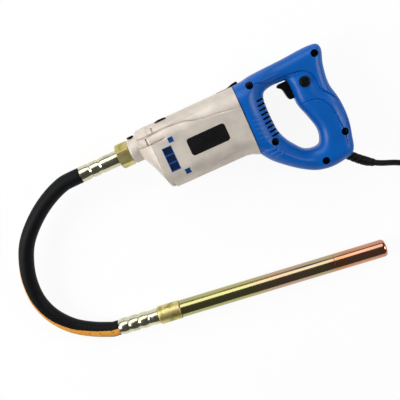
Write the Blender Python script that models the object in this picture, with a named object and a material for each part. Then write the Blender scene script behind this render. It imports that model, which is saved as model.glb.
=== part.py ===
"""Hand-held electric concrete vibrator, lying on its side on the floor.

A cast motor housing and gearcase carry a universal motor, a fan and a two-gear step.  A moulded
D-handle of two half shells closes the rear.  A rubber hose with a flexible shaft leads from the
gearcase's neck to a steel poker head, which holds an out-of-balance rotor.

Axes: +X runs along the motor from nose to handle, +Y to the tool's top, +Z up from the floor.
The origin lies on the floor, in the middle of the housing's flat side, below the motor's axis.
"""

import math

import bmesh
import bpy
import numpy as np
from mathutils import Matrix, Vector
from mathutils.geometry import delaunay_2d_cdt

# Clearances
GAP = 0.0003                 # between pieces that touch
RUNNING_GAP = 0.0008         # between a turning piece and its housing
BEYOND = 0.0120              # how far a cutter reaches past the surface it opens

# Motor housing: a rounded rectangular casting
HOUSING_LENGTH = 0.1295
HOUSING_HEIGHT = 0.0940
HOUSING_WIDTH = 0.0880
HOUSING_CORNER = 0.0260
HOUSING_WALL = 0.0040
FLARE_LENGTH = 0.0200        # stretch of the rear rim that widens towards the handle
FLARE_DROP = 0.0065          # how far the rim's underside drops

# Gearcase and neck
NECK_RADIUS = 0.0175
NECK_LENGTH = 0.0138
NOSE_LENGTH = 0.0197         # from the neck to the flange
FLANGE_LENGTH = 0.0020
FLANGE_STEP = 0.0008         # how far the flange stays inside the housing's outline
SUMP_RISE = 0.0055           # how much higher the gearcase's underside lies than the housing's
GEARCASE_WALL = 0.0050
NECK_BORE = 0.0090
LOCK_SHANK = 0.0019          # lock screw in the neck's top: shank and head radius
LOCK_HEAD = 0.0050
LOCK_HEAD_HEIGHT = 0.0030

# Gears, involute teeth of stub height
MODULE = HOUSING_HEIGHT / 94   # the gears fill the housing's height at this module
PINION_TEETH = 11
WHEEL_TEETH = 34
PRESSURE_ANGLE = math.radians(20)
TOOTH_ADDENDUM = 0.7         # in modules
TOOTH_DEDENDUM = 1.0         # in modules
BACKLASH = 0.00025
GEAR_WIDTH = 0.0080

# Motor
SHAFT_RADIUS = 0.0050
JOURNAL_RADIUS = 0.0040
PINION_SHAFT_RADIUS = 0.0028
ARMATURE_LENGTH = 0.0480
ARMATURE_SLOTS = 12
STATOR_LENGTH = 0.0500
STATOR_YOKE = 0.0062         # ring of iron outside the slots
STATOR_SLOT_DEPTH = 0.0100   # from the armature to the slots' outer wall
POLE_HALF_ANGLE = math.radians(50)
COIL_RADIUS = 0.0038
WINDING_INSET = 0.0023       # from the core's surface to the end windings' crown
SLOT_FLOOR = 0.0130          # radius at the bottom of the core's slots
COMMUTATOR_RADIUS = 0.0140
BAR_GAP_DEPTH = 0.0007       # how deep the mica between the bars lies
COMMUTATOR_LENGTH = 0.0200
COMMUTATOR_SETBACK = 0.0015  # from the rear bracket
COMMUTATOR_BARS = 16
FAN_CLEARANCE = 0.0037       # how much smaller the fan is than the stator
FAN_SETBACK = 0.0020         # from the bearing plate to the fan
FAN_TO_STATOR = 0.0105
FAN_WIDTH = 0.0130
FAN_BLADES = 12
FAN_DISC = 0.0020
BLADE_THICKNESS = 0.0014
BLADE_START = 0.0150         # radius where the blades begin
BLADE_SWEEP = 0.55           # how far a blade turns from root to tip, in radians
BEARING_RADIUS = 11 * MODULE           # both shafts' bearings fit side by side in one plate
SPINDLE_BEARING_RADIUS = 9.5 * MODULE
BEARING_WIDTH = 0.0070
BRUSH_FROM_REAR = 0.0150     # brush axis to the housing's rear face
BRUSH_WIDTH = 0.0060
BRUSH_THICKNESS = 0.0080
BRUSH_LENGTH = 0.0150
BRUSH_BARE = 0.0025          # its end that stands out of the holder
HOLDER_WALL = 0.0012
BRUSH_CAP_RADIUS = 0.0085
BRUSH_CAP_HEIGHT = 0.0030
BRUSH_CAP_PROUD = 0.0005     # how far a cap stands out of its spot face
CAP_LEDGE = 0.0015           # width of the ledge under a cap's rim
CAP_SLOT = (0.0110, 0.0016, 0.0013)  # length, width and depth

# Bearing plates
PLATE_THICKNESS = 0.0080

# Spindle and its neck bearing
SPINDLE_RADIUS = 0.0060
SPINDLE_REAR_RADIUS = 0.0035
SPINDLE_REACH = 0.0080       # how far it stands out of the neck
NECK_BEARING_RADIUS = 0.0140
NECK_BEARING_WIDTH = 0.0080
NECK_BEARING_SETBACK = 0.0030
DRIVE_SQUARE = 0.0060        # the flexible shaft's square end

# Air vents in the housing's sides
VENT_LENGTH = 0.0145
VENT_HEIGHT = 0.0345
VENT_FROM_FRONT = 0.0090
VENT_CENTRE_Y = -0.0065
VENT_WINDOWS = 3
VENT_FRAME = 0.0022
SMALL_VENT = 0.0080
UPPER_VENT_AT = (0.0260, 0.0175)     # from the housing's front, and up from the motor's axis
LOWER_VENT_AT = (0.0300, -0.0308)
VENT_RECESS = 0.0003

# Nameplate
PLATE_LENGTH = 0.0560
PLATE_HEIGHT = 0.0250
PLATE_CORNER = 0.0050
PLATE_DEPTH = 0.0012
PLATE_CENTRE = (0.0075, -0.0034)

# Handle shells
HANDLE_WALL = 0.0030
HANDLE_FRONT_HALF = 0.0435   # half thickness where the handle meets the housing
GRIP_HALF = 0.0205           # half thickness at the grip
TAPER_START = 0.0060         # from the housing's rear
TAPER_END = 0.0720
FRONT_SHOULDER = 0.0250      # rounding of the shell's edge beside the housing
GRIP_SHOULDER = 0.0150       # rounding at the grip

# Handle outline and opening: points from the housing's rear face and the motor's axis
HANDLE_OUTLINE = (
    (0.0, 0.0472), (0.0160, 0.0482), (0.0250, 0.0500), (0.0750, 0.0523), (0.1200, 0.0542),
    (0.1290, 0.0513), (0.1312, 0.0438), (0.1257, 0.0238), (0.1228, 0.0026), (0.1232, -0.0073),
    (0.1272, -0.0246), (0.1292, -0.0423), (0.1288, -0.0617), (0.1246, -0.0832), (0.1205, -0.0990),
    (0.1150, -0.1063), (0.1036, -0.1093), (0.0910, -0.1112), (0.0792, -0.1113), (0.0617, -0.1073),
    (0.0430, -0.0965), (0.0228, -0.0802), (0.0085, -0.0662), (0.0, -0.0545),
)
OPENING_OUTLINE = (
    (0.0705, 0.0238), (0.0640, 0.0250), (0.0462, 0.0249), (0.0367, 0.0216), (0.0333, 0.0150),
    (0.0321, 0.0035), (0.0322, -0.0160), (0.0338, -0.0343), (0.0399, -0.0496), (0.0480, -0.0620),
    (0.0578, -0.0729), (0.0689, -0.0766), (0.0790, -0.0752), (0.0838, -0.0664), (0.0850, -0.0545),
    (0.0795, -0.0330), (0.0732, -0.0130), (0.0727, 0.0100),
)

# Handle vents beside the opening
SIDE_SLOTS = 9
SLOT_PITCH = 0.0064
SLOT_WIDTH = 0.0030
SLOT_LENGTH = 0.0120
FIRST_SLOT_Y = 0.0155
SLOT_FROM_MIDDLE = 0.0060    # where a slot starts, from the parting plane

# Handle screws, from the housing's rear face and the motor's axis
HANDLE_SCREWS = ((0.1190, 0.0417), (0.0215, 0.0390), (0.0232, -0.0440), (0.1165, -0.0722),
                 (0.0772, -0.0985))
SCREW_RECESS_RADIUS = 0.0052
SCREW_HEAD_RADIUS = 0.0040
SCREW_HEAD_HEIGHT = 0.0030
SCREW_SHANK_RADIUS = 0.0020
SCREW_REACH = 0.0100         # into the far shell's boss
BOSS_RADIUS = 0.0072
SCREW_HEAD_DEPTH = 0.0085    # from the shell's surface down to the head's seat

# Switch, trigger and lock button
TRIGGER_WIDTH = 0.0150
TRIGGER_TRAVEL = 0.0060
TRIGGER_TOP = 0.0235
TRIGGER_BOTTOM = -0.0030
TRIGGER_FRONT = 0.0610       # from the housing's rear face
FINGER_CURVE = ((-0.0010, 0), (-0.0050, 0.0030), (-0.0035, 0.0062), (0.0012, 0.0085),
                (0.0028, 0.0150))    # its lip and face: behind TRIGGER_FRONT, and below the top
TRIGGER_BACK = 0.0840
SWITCH_LENGTH = 0.0240
RIB_END = 0.0040             # how much shorter than the switch each cradle rib is
SWITCH_WIDTH = 0.0200
SWITCH_TOP = 0.0240
SWITCH_BOTTOM = -0.0120
SWITCH_RIBS = (0.1020, 0.1100)       # cradle ribs of each shell, behind the housing
RIB_THICKNESS = 0.0020
BUTTON_AT = (0.0922, 0.0124)
BUTTON_RADIUS = 0.0060
BUTTON_COLLAR_RADIUS = 0.0076
COLLAR_RISE = 0.0014         # how far the collar stands above the shell
BUTTON_PROUD = 0.0045
BUTTON_TRAVEL = 0.0030

# Coupling, ferrules and hose
NUT_ACROSS_FLATS = 0.0310
NUT_LENGTH = 0.0185
NUT_TURN = math.radians(8)
NUT_CHAMFER = 0.0016
TAIL_RADIUS = 0.0115
TAIL_BORE = 0.0062
TAIL_SETBACK = 0.0040        # from the ferrule's mouth to the tail's end
FERRULE_RADIUS = 0.0114
FERRULE_LENGTH = 0.0599
FERRULE_WALL = 0.0030
CRIMP_DEPTH = 0.0010
CRIMP_WIDTH = 0.0030
CRIMPS = (0.0147, 0.0304)    # from the ferrule's hose end
HOSE_DIAMETER = 0.0225
SHAFT_END_RADIUS = 0.0050
SHAFT_END_LENGTH = 0.0300
TONGUE_LENGTH = 0.0055       # of the square that enters the spindle

# Poker head: its axis on the floor
HEAD_AHEAD = 0.13365         # how far ahead of the nose the hose enters the lower ferrule
HEAD_DROP = 0.2115           # how far it lies from the motor's axis, towards the tool's bottom
HEAD_ANGLE = math.radians(-6.77)
LOWER_FERRULE_LENGTH = 0.0620
LOWER_FERRULE_RADIUS = 0.0118
BULGES = 3
BULGE_START = 0.0010
BULGE_PITCH = 0.0155
BULGE_HEIGHT = 0.0012
COLLAR_RADIUS = 0.01375
COLLAR_LENGTH = 0.0345
COLLAR_EDGE = 0.0012
COLLAR_SPIGOT = 0.0060       # where its hose spigot starts inside the lower ferrule
TUBE_SPIGOT = 0.0100         # length of its spigot in the head tube
HEAD_RADIUS = 0.0130
HEAD_WALL = 0.0030
HEAD_TUBE_LENGTH = 0.2380
TIP_LENGTH = 0.0780
TIP_CHAMFER = 0.0055
TIP_SPIGOT = 0.0120
SEAM_EDGE = 0.0004           # broken edge at the seam between tube and tip
ROTOR_LENGTH = 0.1500
ROTOR_RADIUS = 0.0088
ROTOR_SHAFT_RADIUS = 0.0042
HEAD_BEARING_WIDTH = 0.0080
HEAD_SEAL = 0.0034           # width of the seal behind the collar's spigot
BEARING_FREE = 0.0020        # free length between a bearing and the mass

# Power cord
CORD_DIAMETER = 0.0085
BOOT_START_RADIUS = 0.0068
BOOT_END_RADIUS = 0.0054
COIL_TURNS_ACROSS = 3
COIL_LAYERS = 2
COIL_MEAN_RADIUS = 5.5 * CORD_DIAMETER
COIL_CENTRE = (0.3240, -0.1410)
COIL_ENTRY = math.radians(-130)
COIL_EXIT = math.radians(55)
PLUG_LENGTH = 0.0360
PLUG_WIDTH = 0.0340
PLUG_CORNER = 0.0040
PIN_LENGTH = 0.0190
PIN_RADIUS = 0.0020
PIN_SPACING = 0.0190
PLUG_SPLAY = math.radians(38)      # how far the plug turns away from the coil

# Places worked out from the sizes above
FRONT = -HOUSING_LENGTH / 2
REAR = HOUSING_LENGTH / 2
MID = HOUSING_WIDTH / 2
FLANGE_FRONT = FRONT - FLANGE_LENGTH
NECK_END = FLANGE_FRONT - NOSE_LENGTH
NOSE = NECK_END - NECK_LENGTH
SPINDLE_Y = (PINION_TEETH + WHEEL_TEETH) * MODULE / 2
GEARS_REAR = FRONT - 2.5 * RUNNING_GAP
GEARS_FRONT = GEARS_REAR - GEAR_WIDTH
PLATE_FRONT = FRONT + 2 * GAP
PLATE_REAR = PLATE_FRONT + PLATE_THICKNESS
FAN_FRONT = PLATE_REAR + FAN_SETBACK
FAN_REAR = FAN_FRONT + FAN_WIDTH
STATOR_RADIUS = min(HOUSING_WIDTH, HOUSING_HEIGHT) / 2 - HOUSING_WALL - GAP
FAN_RADIUS = STATOR_RADIUS - FAN_CLEARANCE
STATOR_SLOT_RADIUS = STATOR_RADIUS - STATOR_YOKE
ARMATURE_RADIUS = STATOR_SLOT_RADIUS - STATOR_SLOT_DEPTH
STATOR_BORE = ARMATURE_RADIUS + RUNNING_GAP
BRUSH_X = REAR - BRUSH_FROM_REAR
HOLDER_FLANGE_RADIUS = BRUSH_CAP_RADIUS - CAP_LEDGE
CAP_SEAT = HOUSING_HEIGHT / 2 + BRUSH_CAP_PROUD - BRUSH_CAP_HEIGHT
BRACKET_REAR = REAR - GAP
BRACKET_FRONT = BRACKET_REAR - PLATE_THICKNESS
COMMUTATOR_REAR = BRACKET_FRONT - COMMUTATOR_SETBACK
COMMUTATOR_FRONT = COMMUTATOR_REAR - COMMUTATOR_LENGTH
STATOR_FRONT = FAN_REAR + FAN_TO_STATOR
STATOR_REAR = STATOR_FRONT + STATOR_LENGTH
ARMATURE_FRONT = (STATOR_FRONT + STATOR_REAR - ARMATURE_LENGTH) / 2
ARMATURE_REAR = ARMATURE_FRONT + ARMATURE_LENGTH
MOTOR_AXIS = Vector((0, 0, MID))
SPINDLE_AXIS = Vector((0, SPINDLE_Y, MID))
HEAD_Z = COLLAR_RADIUS
HEAD_DIRECTION = Vector((math.cos(HEAD_ANGLE), math.sin(HEAD_ANGLE), 0))
HEAD_ORIGIN = Vector((NOSE - HEAD_AHEAD, -HEAD_DROP, HEAD_Z))


# ---------------------------------------------------------------- tools

def clear():
    for item in list(bpy.data.objects):
        bpy.data.objects.remove(item, do_unlink=True)


def srgb(code):
    """A six-digit sRGB colour as linear red, green, blue and alpha."""
    parts = [int(code[i:i + 2], 16) / 255 for i in (0, 2, 4)]
    return tuple(c / 12.92 if c < 0.04045 else ((c + 0.055) / 1.055) ** 2.4 for c in parts) + (1,)


def material(name, code, roughness, metallic=0.0):
    found = bpy.data.materials.get(name) or bpy.data.materials.new(name)
    found.use_nodes = True
    shader = found.node_tree.nodes["Principled BSDF"]
    shader.inputs["Base Color"].default_value = srgb(code)
    shader.inputs["Roughness"].default_value = roughness
    shader.inputs["Metallic"].default_value = metallic
    return found


FINISHES = {
    "cast": ("C3B4A5", 0.38, 0.9),
    "steel": ("9A9A9C", 0.35, 1.0),
    "dark_steel": ("3B3B3D", 0.45, 1.0),
    "zinc": ("B5A455", 0.35, 1.0),
    "poker": ("B9A77C", 0.22, 1.0),
    "copper": ("B5653A", 0.35, 1.0),
    "blue": ("0A5FB4", 0.40, 0.0),
    "vent": ("123F86", 0.45, 0.0),
    "black": ("141414", 0.50, 0.0),
    "rubber": ("1C1C1D", 0.75, 0.0),
    "carbon": ("2A2A2A", 0.60, 0.2),
    "brass": ("C09A45", 0.35, 1.0),
    "insulation": ("8C6A3A", 0.70, 0.0),
}


def paint(item, finish):
    """Give the piece a material of its own, of one of the finishes above."""
    code, roughness, metallic = FINISHES[finish]
    item.data.materials.clear()
    item.data.materials.append(material(item.name + "_finish", code, roughness, metallic))
    return item


def mesh_object(name, points, faces, finish=None, smooth_below=40):
    mesh = bpy.data.meshes.new(name)
    mesh.from_pydata([tuple(p) for p in points], [], [tuple(f) for f in faces])
    work = bmesh.new()
    work.from_mesh(mesh)
    bmesh.ops.remove_doubles(work, verts=work.verts, dist=0.000001)
    bmesh.ops.recalc_face_normals(work, faces=work.faces)
    work.to_mesh(mesh)
    work.free()
    mesh.shade_smooth()
    mesh.set_sharp_from_angle(angle=math.radians(smooth_below))
    item = bpy.data.objects.new(name, mesh)
    bpy.context.collection.objects.link(item)
    return paint(item, finish) if finish else item


def loft(name, rings, finish=None):
    """A closed solid through rings of equally many points, flat at both ends."""
    count = len(rings[0])
    points = [p for ring in rings for p in ring]
    faces = [tuple(reversed(range(count)))]
    for k in range(len(rings) - 1):
        low, high = k * count, (k + 1) * count
        for i in range(count):
            j = (i + 1) % count
            faces.append((low + i, low + j, high + j, high + i))
    faces.append(tuple(range((len(rings) - 1) * count, len(rings) * count)))
    return mesh_object(name, points, faces, finish)


def axis_frame(origin, direction):
    """Columns side, up and direction, for shapes turned or extruded along a direction."""
    along = Vector(direction).normalized()
    side = Vector((0, 0, 1)).cross(along)
    if side.length < 1e-6:
        side = Vector((0, 1, 0))
    side.normalize()
    up = along.cross(side)
    return Matrix.Translation(origin) @ Matrix((side, up, along)).transposed().to_4x4()


def turned(name, profile, origin, direction=(1, 0, 0), finish=None, steps=20):
    """Turn a profile of (along, radius) points.  It closes on the axis, or on itself if hollow."""
    frame = axis_frame(origin, direction)
    rings, points, faces = [], [], []
    for along, radius in profile:
        if radius < 1e-7:
            rings.append([len(points)])
            points.append(frame @ Vector((0, 0, along)))
            continue
        rings.append(list(range(len(points), len(points) + steps)))
        for i in range(steps):
            turn = 2 * math.pi * i / steps
            points.append(frame @ Vector((radius * math.cos(turn), radius * math.sin(turn), along)))
    hollow = len(rings[0]) > 1
    pairs = list(zip(rings, rings[1:])) + ([(rings[-1], rings[0])] if hollow else [])
    for low, high in pairs:
        for i in range(steps):
            j = (i + 1) % steps
            if len(low) == 1:
                faces.append((low[0], high[i], high[j]))
            elif len(high) == 1:
                faces.append((low[i], high[0], low[j]))
            else:
                faces.append((low[i], high[i], high[j], low[j]))
    return mesh_object(name, points, faces, finish)


def rod(name, start, end, radius, origin, direction=(1, 0, 0), finish=None, steps=20):
    profile = [(start, 0), (start, radius), (end, radius), (end, 0)]
    return turned(name, profile, origin, direction, finish, steps)


def sleeve(name, start, end, inner, outer, origin, direction=(1, 0, 0), finish=None, steps=20):
    profile = [(start, inner), (start, outer), (end, outer), (end, inner)]
    return turned(name, profile, origin, direction, finish, steps)


def flat_fill(loops, extra=()):
    """Triangles that fill the first loop and leave the others open, with any extra points inside."""
    points, edges = [], []
    for loop in loops:
        first = len(points)
        points.extend(Vector(p[:2]) for p in loop)
        edges.extend((first + i, first + (i + 1) % len(loop)) for i in range(len(loop)))
    points.extend(Vector(p[:2]) for p in extra)
    out, _, triangles, source, _, _ = delaunay_2d_cdt(points, edges, [], 0, 1e-7)
    outer = np.array([p[:2] for p in loops[0]])
    holes = [np.array([p[:2] for p in loop]) for loop in loops[1:]]
    kept = []
    for triangle in triangles:
        centre = np.mean([out[i][:] for i in triangle], axis=0)
        if inside(centre, outer) and not any(inside(centre, hole) for hole in holes):
            kept.append(tuple(source[i][0] for i in triangle))
    return points, kept


def inside(point, loop):
    """Whether a point lies in a closed loop, by counting the edges that a ray crosses."""
    nxt = np.roll(loop, -1, axis=0)
    spans = (loop[:, 1] > point[1]) != (nxt[:, 1] > point[1])
    rise = np.where(spans, nxt[:, 1] - loop[:, 1], 1.0)
    cross = loop[:, 0] + (point[1] - loop[:, 1]) * (nxt[:, 0] - loop[:, 0]) / rise
    return bool(np.count_nonzero(spans & (point[0] < cross)) % 2)


def extruded(name, loops, start, end, origin, direction=(1, 0, 0), finish=None):
    """A flat outline with holes, given as (side, up) points, extruded along a direction."""
    frame = axis_frame(origin, direction)
    flat, triangles = flat_fill(loops)
    count = len(flat)
    points = [frame @ Vector((p[0], p[1], start)) for p in flat]
    points += [frame @ Vector((p[0], p[1], end)) for p in flat]
    faces = [tuple(reversed(t)) for t in triangles]
    faces += [tuple(i + count for i in t) for t in triangles]
    first = 0
    for loop in loops:
        size = len(loop)
        for i in range(size):
            a, b = first + i, first + (i + 1) % size
            faces.append((a, b, b + count, a + count))
        first += size
    return mesh_object(name, points, faces, finish)


def box(name, low, high, finish=None):
    (x0, y0, z0), (x1, y1, z1) = low, high
    ring = [(x0, y0), (x1, y0), (x1, y1), (x0, y1)]
    return loft(name, [[(x, y, z0) for x, y in ring], [(x, y, z1) for x, y in ring]], finish)


def circle(radius, steps=20, centre=(0, 0)):
    turns = [2 * math.pi * i / steps for i in range(steps)]
    return [(centre[0] + radius * math.cos(t), centre[1] + radius * math.sin(t)) for t in turns]


def rounded(width, height, radius, steps=6, centre=(0, 0)):
    """A rectangle with round corners, as points that run round it."""
    points = []
    for corner, (sx, sy) in enumerate(((1, 1), (-1, 1), (-1, -1), (1, -1))):
        cx = centre[0] + sx * (width / 2 - radius)
        cy = centre[1] + sy * (height / 2 - radius)
        for i in range(steps + 1):
            turn = math.pi / 2 * (corner + i / steps)
            points.append((cx + radius * math.cos(turn), cy + radius * math.sin(turn)))
    return points


def combine(target, tools, operation="DIFFERENCE", self_crossing=False):
    """Cut, join or intersect a piece with other shapes, which are used up."""
    joined = tools[0]
    if len(tools) > 1:
        work = bmesh.new()
        for tool in tools:
            work.from_mesh(tool.data)
        mesh = bpy.data.meshes.new("tools")
        work.to_mesh(mesh)
        work.free()
        joined = bpy.data.objects.new("tools", mesh)
        bpy.context.collection.objects.link(joined)
    change = target.modifiers.new("combine", "BOOLEAN")
    change.operation = operation
    change.solver = "EXACT"
    change.use_self = self_crossing
    change.object = joined
    graph = bpy.context.evaluated_depsgraph_get()
    graph.update()
    result = bpy.data.meshes.new_from_object(target.evaluated_get(graph))
    target.modifiers.clear()
    finish = list(target.data.materials)
    target.data = result
    result.materials.clear()
    for entry in finish:
        result.materials.append(entry)
    for tool in set(tools) | {joined}:
        bpy.data.objects.remove(tool, do_unlink=True)
    work = bmesh.new()
    work.from_mesh(result)
    bmesh.ops.remove_doubles(work, verts=work.verts, dist=0.000002)
    bmesh.ops.dissolve_degenerate(work, edges=work.edges, dist=0.000002)
    work.to_mesh(result)
    work.free()
    result.shade_smooth()
    result.set_sharp_from_angle(angle=math.radians(40))
    return target


def smooth_path(points, per_stretch, closed=False):
    """Points on a centripetal Catmull-Rom curve through the given points."""
    knots = [Vector(p) for p in points]
    count = len(knots)
    if not closed:
        knots = [2 * knots[0] - knots[1]] + knots + [2 * knots[-1] - knots[-2]]
    out = []
    for i in range(count if closed else count - 1):
        if closed:
            a, b, c, d = (knots[(i + k - 1) % count] for k in range(4))
        else:
            a, b, c, d = knots[i:i + 4]
        t1 = (b - a).length ** 0.5
        t2 = t1 + (c - b).length ** 0.5
        t3 = t2 + (d - c).length ** 0.5
        for k in range(per_stretch):
            t = t1 + (t2 - t1) * k / per_stretch
            ab = a * ((t1 - t) / t1) + b * (t / t1)
            bc = b * ((t2 - t) / (t2 - t1)) + c * ((t - t1) / (t2 - t1))
            cd = c * ((t3 - t) / (t3 - t2)) + d * ((t - t2) / (t3 - t2))
            abc = ab * ((t2 - t) / t2) + bc * (t / t2)
            bcd = bc * ((t3 - t) / (t3 - t1)) + cd * ((t - t1) / (t3 - t1))
            out.append(abc * ((t2 - t) / (t2 - t1)) + bcd * ((t - t1) / (t2 - t1)))
    if not closed:
        out.append(knots[-2].copy())
    return out


def tube(name, points, radius, finish, resolution=3, closed=False):
    """A cord, hose or coil as a poly curve with a round bevel and filled caps."""
    curve = bpy.data.curves.new(name, "CURVE")
    curve.dimensions = "3D"
    curve.bevel_depth = radius
    curve.bevel_resolution = resolution
    curve.use_fill_caps = not closed
    spline = curve.splines.new("POLY")
    spline.points.add(len(points) - 1)
    for slot, p in zip(spline.points, points):
        slot.co = (p[0], p[1], p[2], 1)
    spline.use_cyclic_u = closed
    item = bpy.data.objects.new(name, curve)
    bpy.context.collection.objects.link(item)
    return paint(item, finish)


# ---------------------------------------------------------------- housing and gearcase

def section(x, low, high, half_width, radius):
    """A rounded rectangular ring across the tool, from its lowest to its highest y."""
    flat = rounded(high - low, 2 * half_width, radius, 5, ((low + high) / 2, MID))
    return [(x, y, z) for y, z in flat]


def housing_rings(inset, start, end):
    """The housing's outline at a few stations, drawn in by an inset."""
    half, corner = HOUSING_HEIGHT / 2, HOUSING_CORNER
    flare = REAR - FLARE_LENGTH
    stations = [start, flare, flare + 0.4 * FLARE_LENGTH, flare + 0.75 * FLARE_LENGTH, end]
    drops = [0, 0, 0.2, 0.7, 1.0]
    return [section(x, -half - drop * FLARE_DROP + inset, half - inset, MID - inset, corner - inset)
            for x, drop in zip(stations, drops)]


def wall_prism(name, length, height, centre, side, reach, corner=0.0008):
    """An upright block through one side wall of the housing; side is 1 for up and -1 for down."""
    ring = rounded(length, height, corner, 2, centre)
    outer = MID + side * (MID + 0.003)
    inner = MID + side * (MID - reach)
    return loft(name, [[(x, y, inner) for x, y in ring], [(x, y, outer) for x, y in ring]])


def vents():
    """Side, name, length, height and centre of each vent in the housing's side walls."""
    main = (VENT_LENGTH, VENT_HEIGHT, (FRONT + VENT_FROM_FRONT + VENT_LENGTH / 2, VENT_CENTRE_Y))
    return (
        (1, "left", "main") + main,
        (1, "left", "upper", SMALL_VENT, SMALL_VENT, (FRONT + UPPER_VENT_AT[0], UPPER_VENT_AT[1])),
        (1, "left", "lower", SMALL_VENT, SMALL_VENT, (FRONT + LOWER_VENT_AT[0], LOWER_VENT_AT[1])),
        (-1, "right", "main") + main,
    )


def motor_housing():
    housing = loft("motor_housing", housing_rings(0, FRONT, REAR), "cast")
    bore = loft("bore", housing_rings(HOUSING_WALL, FRONT - 0.001, REAR + 0.001))
    combine(housing, [bore])
    cutters = []
    for side, word, name, length, height, centre in vents():
        cutters.append(wall_prism(name, length + 2 * GAP, height + 2 * GAP, centre, side, BEYOND))
    plate = rounded(PLATE_LENGTH + 2 * GAP, PLATE_HEIGHT + 2 * GAP, PLATE_CORNER, 4, PLATE_CENTRE)
    top = HOUSING_WIDTH
    cutters.append(loft("plate_seat", [[(x, y, top - PLATE_DEPTH) for x, y in plate],
                                       [(x, y, top + 0.001) for x, y in plate]]))
    for side in (1, -1):
        cutters.append(rod("cap_seat", HOUSING_HEIGHT / 4, HOUSING_HEIGHT / 2 + BEYOND,
                           HOLDER_FLANGE_RADIUS + GAP, (BRUSH_X, 0, MID), (0, side, 0), steps=16))
        cutters.append(rod("spot_face", CAP_SEAT - GAP, HOUSING_HEIGHT / 2 + BEYOND,
                           BRUSH_CAP_RADIUS + GAP, (BRUSH_X, 0, MID), (0, side, 0), steps=20))
    combine(housing, cutters, self_crossing=True)
    return housing


def vent_inserts():
    """Plastic grilles that fill the side vents and follow the housing's surface."""
    for side, word, name, length, height, centre in vents():
        insert = wall_prism(f"{name}_vent_{word}", length, height, centre, side, 2 * HOUSING_WALL)
        skin = loft("skin", housing_rings(VENT_RECESS, FRONT - 0.001, REAR))
        combine(insert, [skin], "INTERSECT")
        core = loft("core", housing_rings(HOUSING_WALL, FRONT - 0.002, REAR + 0.001))
        combine(insert, [core])
        if name == "main":
            pitch = (height - VENT_FRAME) / VENT_WINDOWS
            windows = [wall_prism("window", length - 2 * VENT_FRAME, pitch - VENT_FRAME,
                                  (centre[0], centre[1] + (k - 1) * pitch), side, 2 * BEYOND)
                       for k in range(VENT_WINDOWS)]
            combine(insert, windows)
        paint(insert, "vent")


def gearcase_rings(inset, start):
    """Sections from just behind the neck to the flange, drawn in by an inset."""
    top = HOUSING_HEIGHT / 2 - FLANGE_STEP
    sump = -HOUSING_HEIGHT / 2 + SUMP_RISE
    neck_low, neck_high = SPINDLE_Y - NECK_RADIUS, SPINDLE_Y + NECK_RADIUS
    half = MID - FLANGE_STEP
    rows = (
        (NECK_END, neck_low, neck_high + 0.0030, NECK_RADIUS + 0.0010, 0.0165),
        (NECK_END + 0.16 * NOSE_LENGTH, neck_low - 0.0045, top - 0.0008, 0.0250, 0.0180),
        (NECK_END + 0.50 * NOSE_LENGTH, neck_low - 0.0180, top, 0.0340, 0.0220),
        (NECK_END + 0.97 * NOSE_LENGTH, sump + 0.0050, top, half - 0.0020, 0.0245),
        (FLANGE_FRONT, sump + 0.0045, top, half - 0.0015, 0.0245),
        (FLANGE_FRONT + 0.0001, sump, top, half, HOUSING_CORNER - FLANGE_STEP),
        (FRONT - GAP, sump, top, half, HOUSING_CORNER - FLANGE_STEP),
    )
    return [section(x, low + inset, high - inset, wide - inset, radius - inset * 0.8)
            for x, low, high, wide, radius in rows if x >= start]


def gearcase():
    case = loft("gearcase", gearcase_rings(0, NECK_END), "cast")
    neck = rod("neck", NOSE, NECK_END + 0.004, NECK_RADIUS, SPINDLE_AXIS, steps=28)
    combine(case, [neck], "UNION")
    rings = gearcase_rings(GEARCASE_WALL, NECK_END + 0.10 * NOSE_LENGTH)
    first = [(NECK_END + 0.20 * NOSE_LENGTH, y, z) for x, y, z in rings[0]]
    rear = [(FRONT + 0.001, y, z) for x, y, z in rings[-1]]
    pocket = loft("pocket", [first] + rings[1:-2] + [rear])
    combine(case, [pocket])
    seat = rod("bearing_seat", NOSE - 0.001, NOSE + NECK_BEARING_SETBACK + NECK_BEARING_WIDTH + GAP,
               NECK_BEARING_RADIUS + GAP, SPINDLE_AXIS)
    combine(case, [seat])
    combine(case, [rod("neck_bore", NOSE, NECK_END + 0.008, NECK_BORE, SPINDLE_AXIS)])
    screw_x = NOSE + NECK_LENGTH / 2
    hole = rod("screw_hole", 0.010, NECK_RADIUS + 0.002, 0.0022, (screw_x, SPINDLE_Y, MID), (0, 1, 0))
    combine(case, [hole])
    return case


def plate_outline(inset):
    return rounded(HOUSING_HEIGHT - 2 * inset, HOUSING_WIDTH - 2 * inset, HOUSING_CORNER - inset, 5)


def bearing_plates():
    """The front plate carries both shafts; the rear bracket carries the armature."""
    outline = plate_outline(HOUSING_WALL + GAP)
    holes = [circle(BEARING_RADIUS + GAP), circle(SPINDLE_BEARING_RADIUS + GAP, 20, (SPINDLE_Y, 0))]
    extruded("front_bearing_plate", [outline] + holes, PLATE_FRONT, PLATE_REAR, MOTOR_AXIS,
             finish="cast")
    windows = []
    for turn in range(4):
        angle = math.pi / 4 + turn * math.pi / 2
        windows.append(circle(0.0085, 10, (0.026 * math.cos(angle), 0.026 * math.sin(angle))))
    extruded("rear_bearing_bracket", [outline, circle(BEARING_RADIUS + GAP)] + windows,
             BRACKET_FRONT, BRACKET_REAR, MOTOR_AXIS, finish="cast")


# ---------------------------------------------------------------- gears and shafts

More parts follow.
